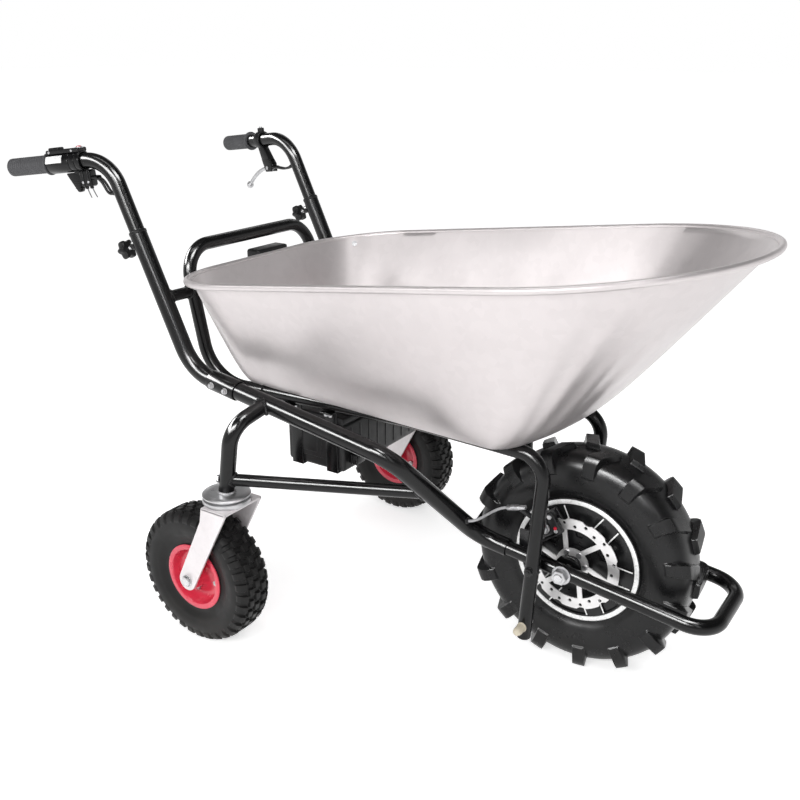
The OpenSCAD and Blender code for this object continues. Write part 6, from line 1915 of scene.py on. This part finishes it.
@dataclass
class Studio:
    """Pale floor, soft lamps, white surroundings and the camera at the photograph's angle.

    Args:
        glossy: groups of pieces that the gloss lamps show on.
    """

    glossy: dict[str, bpy.types.Collection]
    lamps: tuple[SoftLight, ...] = (
        SoftLight("camera_strip", (0.5, -2.6, 1.75), (-0.1, 0.0, 0.45), (2.6, 0.24), 46.0),
        SoftLight("overhead_strip", (0.1, -0.35, 2.75), (0.0, 0.0, 0.45), (2.8, 0.3), 20.0),
        SoftLight("front_strip", (2.2, -1.5, 2.1), (0.2, 0.0, 0.4), (0.3, 1.9), 10.0),
        SoftLight("back_strip", (-1.0, 2.3, 2.2), (0.0, 0.0, 0.5), (2.2, 0.35), 6.0),
        SoftLight("left_gloss", (-1.9, -2.2, 2.1), (-0.2, -0.2, 0.4), (3.4, 0.8), 400.0, "black"),
        SoftLight("rear_gloss", (-3.1, -0.8, 2.2), (-0.3, -0.2, 0.35), (2.0, 0.8), 240.0, "black"),
        SoftLight("near_gloss", (0.3, -2.7, 2.5), (-0.2, -0.2, 0.35), (1.8, 0.7), 220.0, "black"),
        SoftLight("tray_gloss", (-1.75, -2.3, 2.15), (-0.2, -0.2, 0.4), (2.8, 0.3), 20.0, "tray"),
        SoftLight("top_gloss", (0.95, -0.5, 2.75), (0.1, 0.0, 0.4), (1.4, 0.8), 150.0, "black"),
    )
    ambient: float = 0.5
    horizon: float = 1.0
    zenith: float = 0.12
    fade: tuple[float, float] = (0.08, 0.45)
    floor_glow: float = 0.55
    floor_half: float = 40.0
    far: float = 200.0
    camera_at: tuple[float, float, float] = (0.97737, -1.44916, 1.04634)
    azimuth: float = 33.62
    tilt: float = 20.09
    lens: float = 43.616
    sensor: float = 36.0

    def build(self) -> None:
        """Makes the camera first, then the floor, the lamps and the surroundings."""
        self.camera()
        self.floor()
        self.lights()
        self.world()
        bpy.context.scene.view_settings.view_transform = "Standard"

    def camera(self) -> None:
        """Camera with the photograph's place, direction and lens."""
        data = bpy.data.cameras.new("photo_camera")
        data.lens, data.sensor_width, data.sensor_fit = self.lens, self.sensor, "HORIZONTAL"
        data.clip_end = self.far
        obj = bpy.data.objects.new("photo_camera", data)
        a, t = math.radians(self.azimuth), math.radians(self.tilt)
        ahead = Vector((-math.sin(a) * math.cos(t), math.cos(a) * math.cos(t), -math.sin(t)))
        obj.location = self.camera_at
        obj.rotation_euler = ahead.to_track_quat("-Z", "Y").to_euler()
        bpy.context.scene.collection.objects.link(obj)
        bpy.context.scene.camera = obj

    def floor(self) -> None:
        """Large pale floor."""
        mesh = bpy.data.meshes.new("studio_floor")
        e = self.floor_half
        mesh.from_pydata([(-e, -e, 0), (e, -e, 0), (e, e, 0), (-e, e, 0)], [], [(0, 1, 2, 3)])
        mat = bpy.data.materials.new("pale_floor")
        mat.use_nodes = True
        tree = mat.node_tree
        shader = tree.nodes["Principled BSDF"]
        shader.inputs["Specular IOR Level"].default_value = 0.0
        where = tree.nodes.new("ShaderNodeTexCoord").outputs["Object"]
        ramp = tree.nodes.new("ShaderNodeMix")
        ramp.data_type = "RGBA"
        for end, tone in ((MIX_A, 0.925), (MIX_B, 0.94)):
            ramp.inputs[end].default_value = (tone, tone, tone, 1)
        tree.links.new(EffectGroups.noise(tree, where, 3.0), ramp.inputs[0])
        tree.links.new(ramp.outputs[MIX_OUT], shader.inputs["Base Color"])
        shader.inputs["Roughness"].default_value = 0.9
        shader.inputs["Emission Color"].default_value = (1, 1, 1, 1)
        glow = EffectGroups.math(tree, "MULTIPLY", self.seen(tree), self.floor_glow)
        tree.links.new(glow, shader.inputs["Emission Strength"])
        mesh.materials.append(mat)
        obj = bpy.data.objects.new("studio_floor", mesh)
        bpy.context.scene.collection.objects.link(obj)

    @staticmethod
    def seen(tree: Any) -> Any:
        """Mask of rays from the camera and of those that gloss and glass send on.

        Args:
            tree: where the nodes go.

        Returns:
            A socket that is 1 for such rays and 0 for the rest.
        """
        path = tree.nodes.new("ShaderNodeLightPath")
        mask = EffectGroups.math(tree, "ADD", path.outputs["Is Camera Ray"], path.outputs["Is Glossy Ray"])
        mask = EffectGroups.math(tree, "ADD", mask, path.outputs["Is Transmission Ray"])
        return EffectGroups.math(tree, "MINIMUM", mask, 1.0)

    def lights(self) -> None:
        """Flat lamps that face the barrow."""
        for lamp in self.lamps:
            data = bpy.data.lights.new(lamp.name, "AREA")
            data.shape, data.size, data.size_y, data.energy = "RECTANGLE", *lamp.size, lamp.power
            obj = bpy.data.objects.new(lamp.name, data)
            obj.location = lamp.at
            if lamp.gloss:
                obj.visible_diffuse = False
                obj.light_linking.receiver_collection = self.glossy[lamp.gloss]
            obj.rotation_euler = (Vector(lamp.to) - Vector(lamp.at)).to_track_quat("-Z", "Y").to_euler()
            bpy.context.scene.collection.objects.link(obj)

    def world(self) -> None:
        """White surroundings for the camera, darker overhead for gloss, and a softer light for the rest."""
        world = bpy.data.worlds.new("studio")
        bpy.context.scene.world = world
        world.use_nodes = True
        tree = world.node_tree
        back = tree.nodes["Background"]
        where = tree.nodes.new("ShaderNodeTexCoord")
        split = tree.nodes.new("ShaderNodeSeparateXYZ")
        tree.links.new(where.outputs["Generated"], split.inputs[0])
        up = EffectGroups.spread(tree, split.outputs["Z"], self.horizon, self.zenith, *self.fade)
        camera = tree.nodes.new("ShaderNodeLightPath").outputs["Is Camera Ray"]
        up = EffectGroups.math(tree, "MAXIMUM", up, camera)
        seen = self.seen(tree)
        mix = tree.nodes.new("ShaderNodeMix")
        mix.data_type = "FLOAT"
        mix.inputs[MIX_FLOAT_A].default_value = self.ambient
        tree.links.new(seen, mix.inputs[0])
        tree.links.new(up, mix.inputs[MIX_FLOAT_B])
        tree.links.new(mix.outputs[0], back.inputs["Strength"])
        back.inputs["Color"].default_value = (1, 1, 1, 1)


def dress_nodes(shop: Shop, frame: dict[str, Any]) -> None:
    """Gives every CAD node the finish of its material slot.

    Args:
        shop: where the finishes are made.
        frame: the loaded model.
    """
    by_slot = {coat.value.slot: coat for coat in reversed(list(Coat))}
    for part in frame["record"]["subparts"]:
        obj = frame["nodes"][part["node"]]
        obj.data.materials.clear()
        obj.data.materials.append(shop.material(by_slot[part["material_slot"]]))


def main() -> None:
    logging.basicConfig(level=logging.INFO, format="%(name)s: %(message)s")
    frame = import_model()
    low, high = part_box("wheel_axle")
    layout = Layout()
    shop = Shop(Place((low[0] + high[0]) / 2), EffectGroups())
    Studio(shop.glossy).build()
    dress_nodes(shop, frame)
    for assembly in (Handles(layout), Brake(layout), Tray(layout), FrameTubes(layout), FrontWheel(layout),
                     Casters(layout), Electrics(layout)):
        assembly.build(shop)
        LOG.info("%s done", type(assembly).__name__)
    LOG.info("%d pieces", shop.count)
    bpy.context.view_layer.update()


if __name__ == "__main__":
    main()
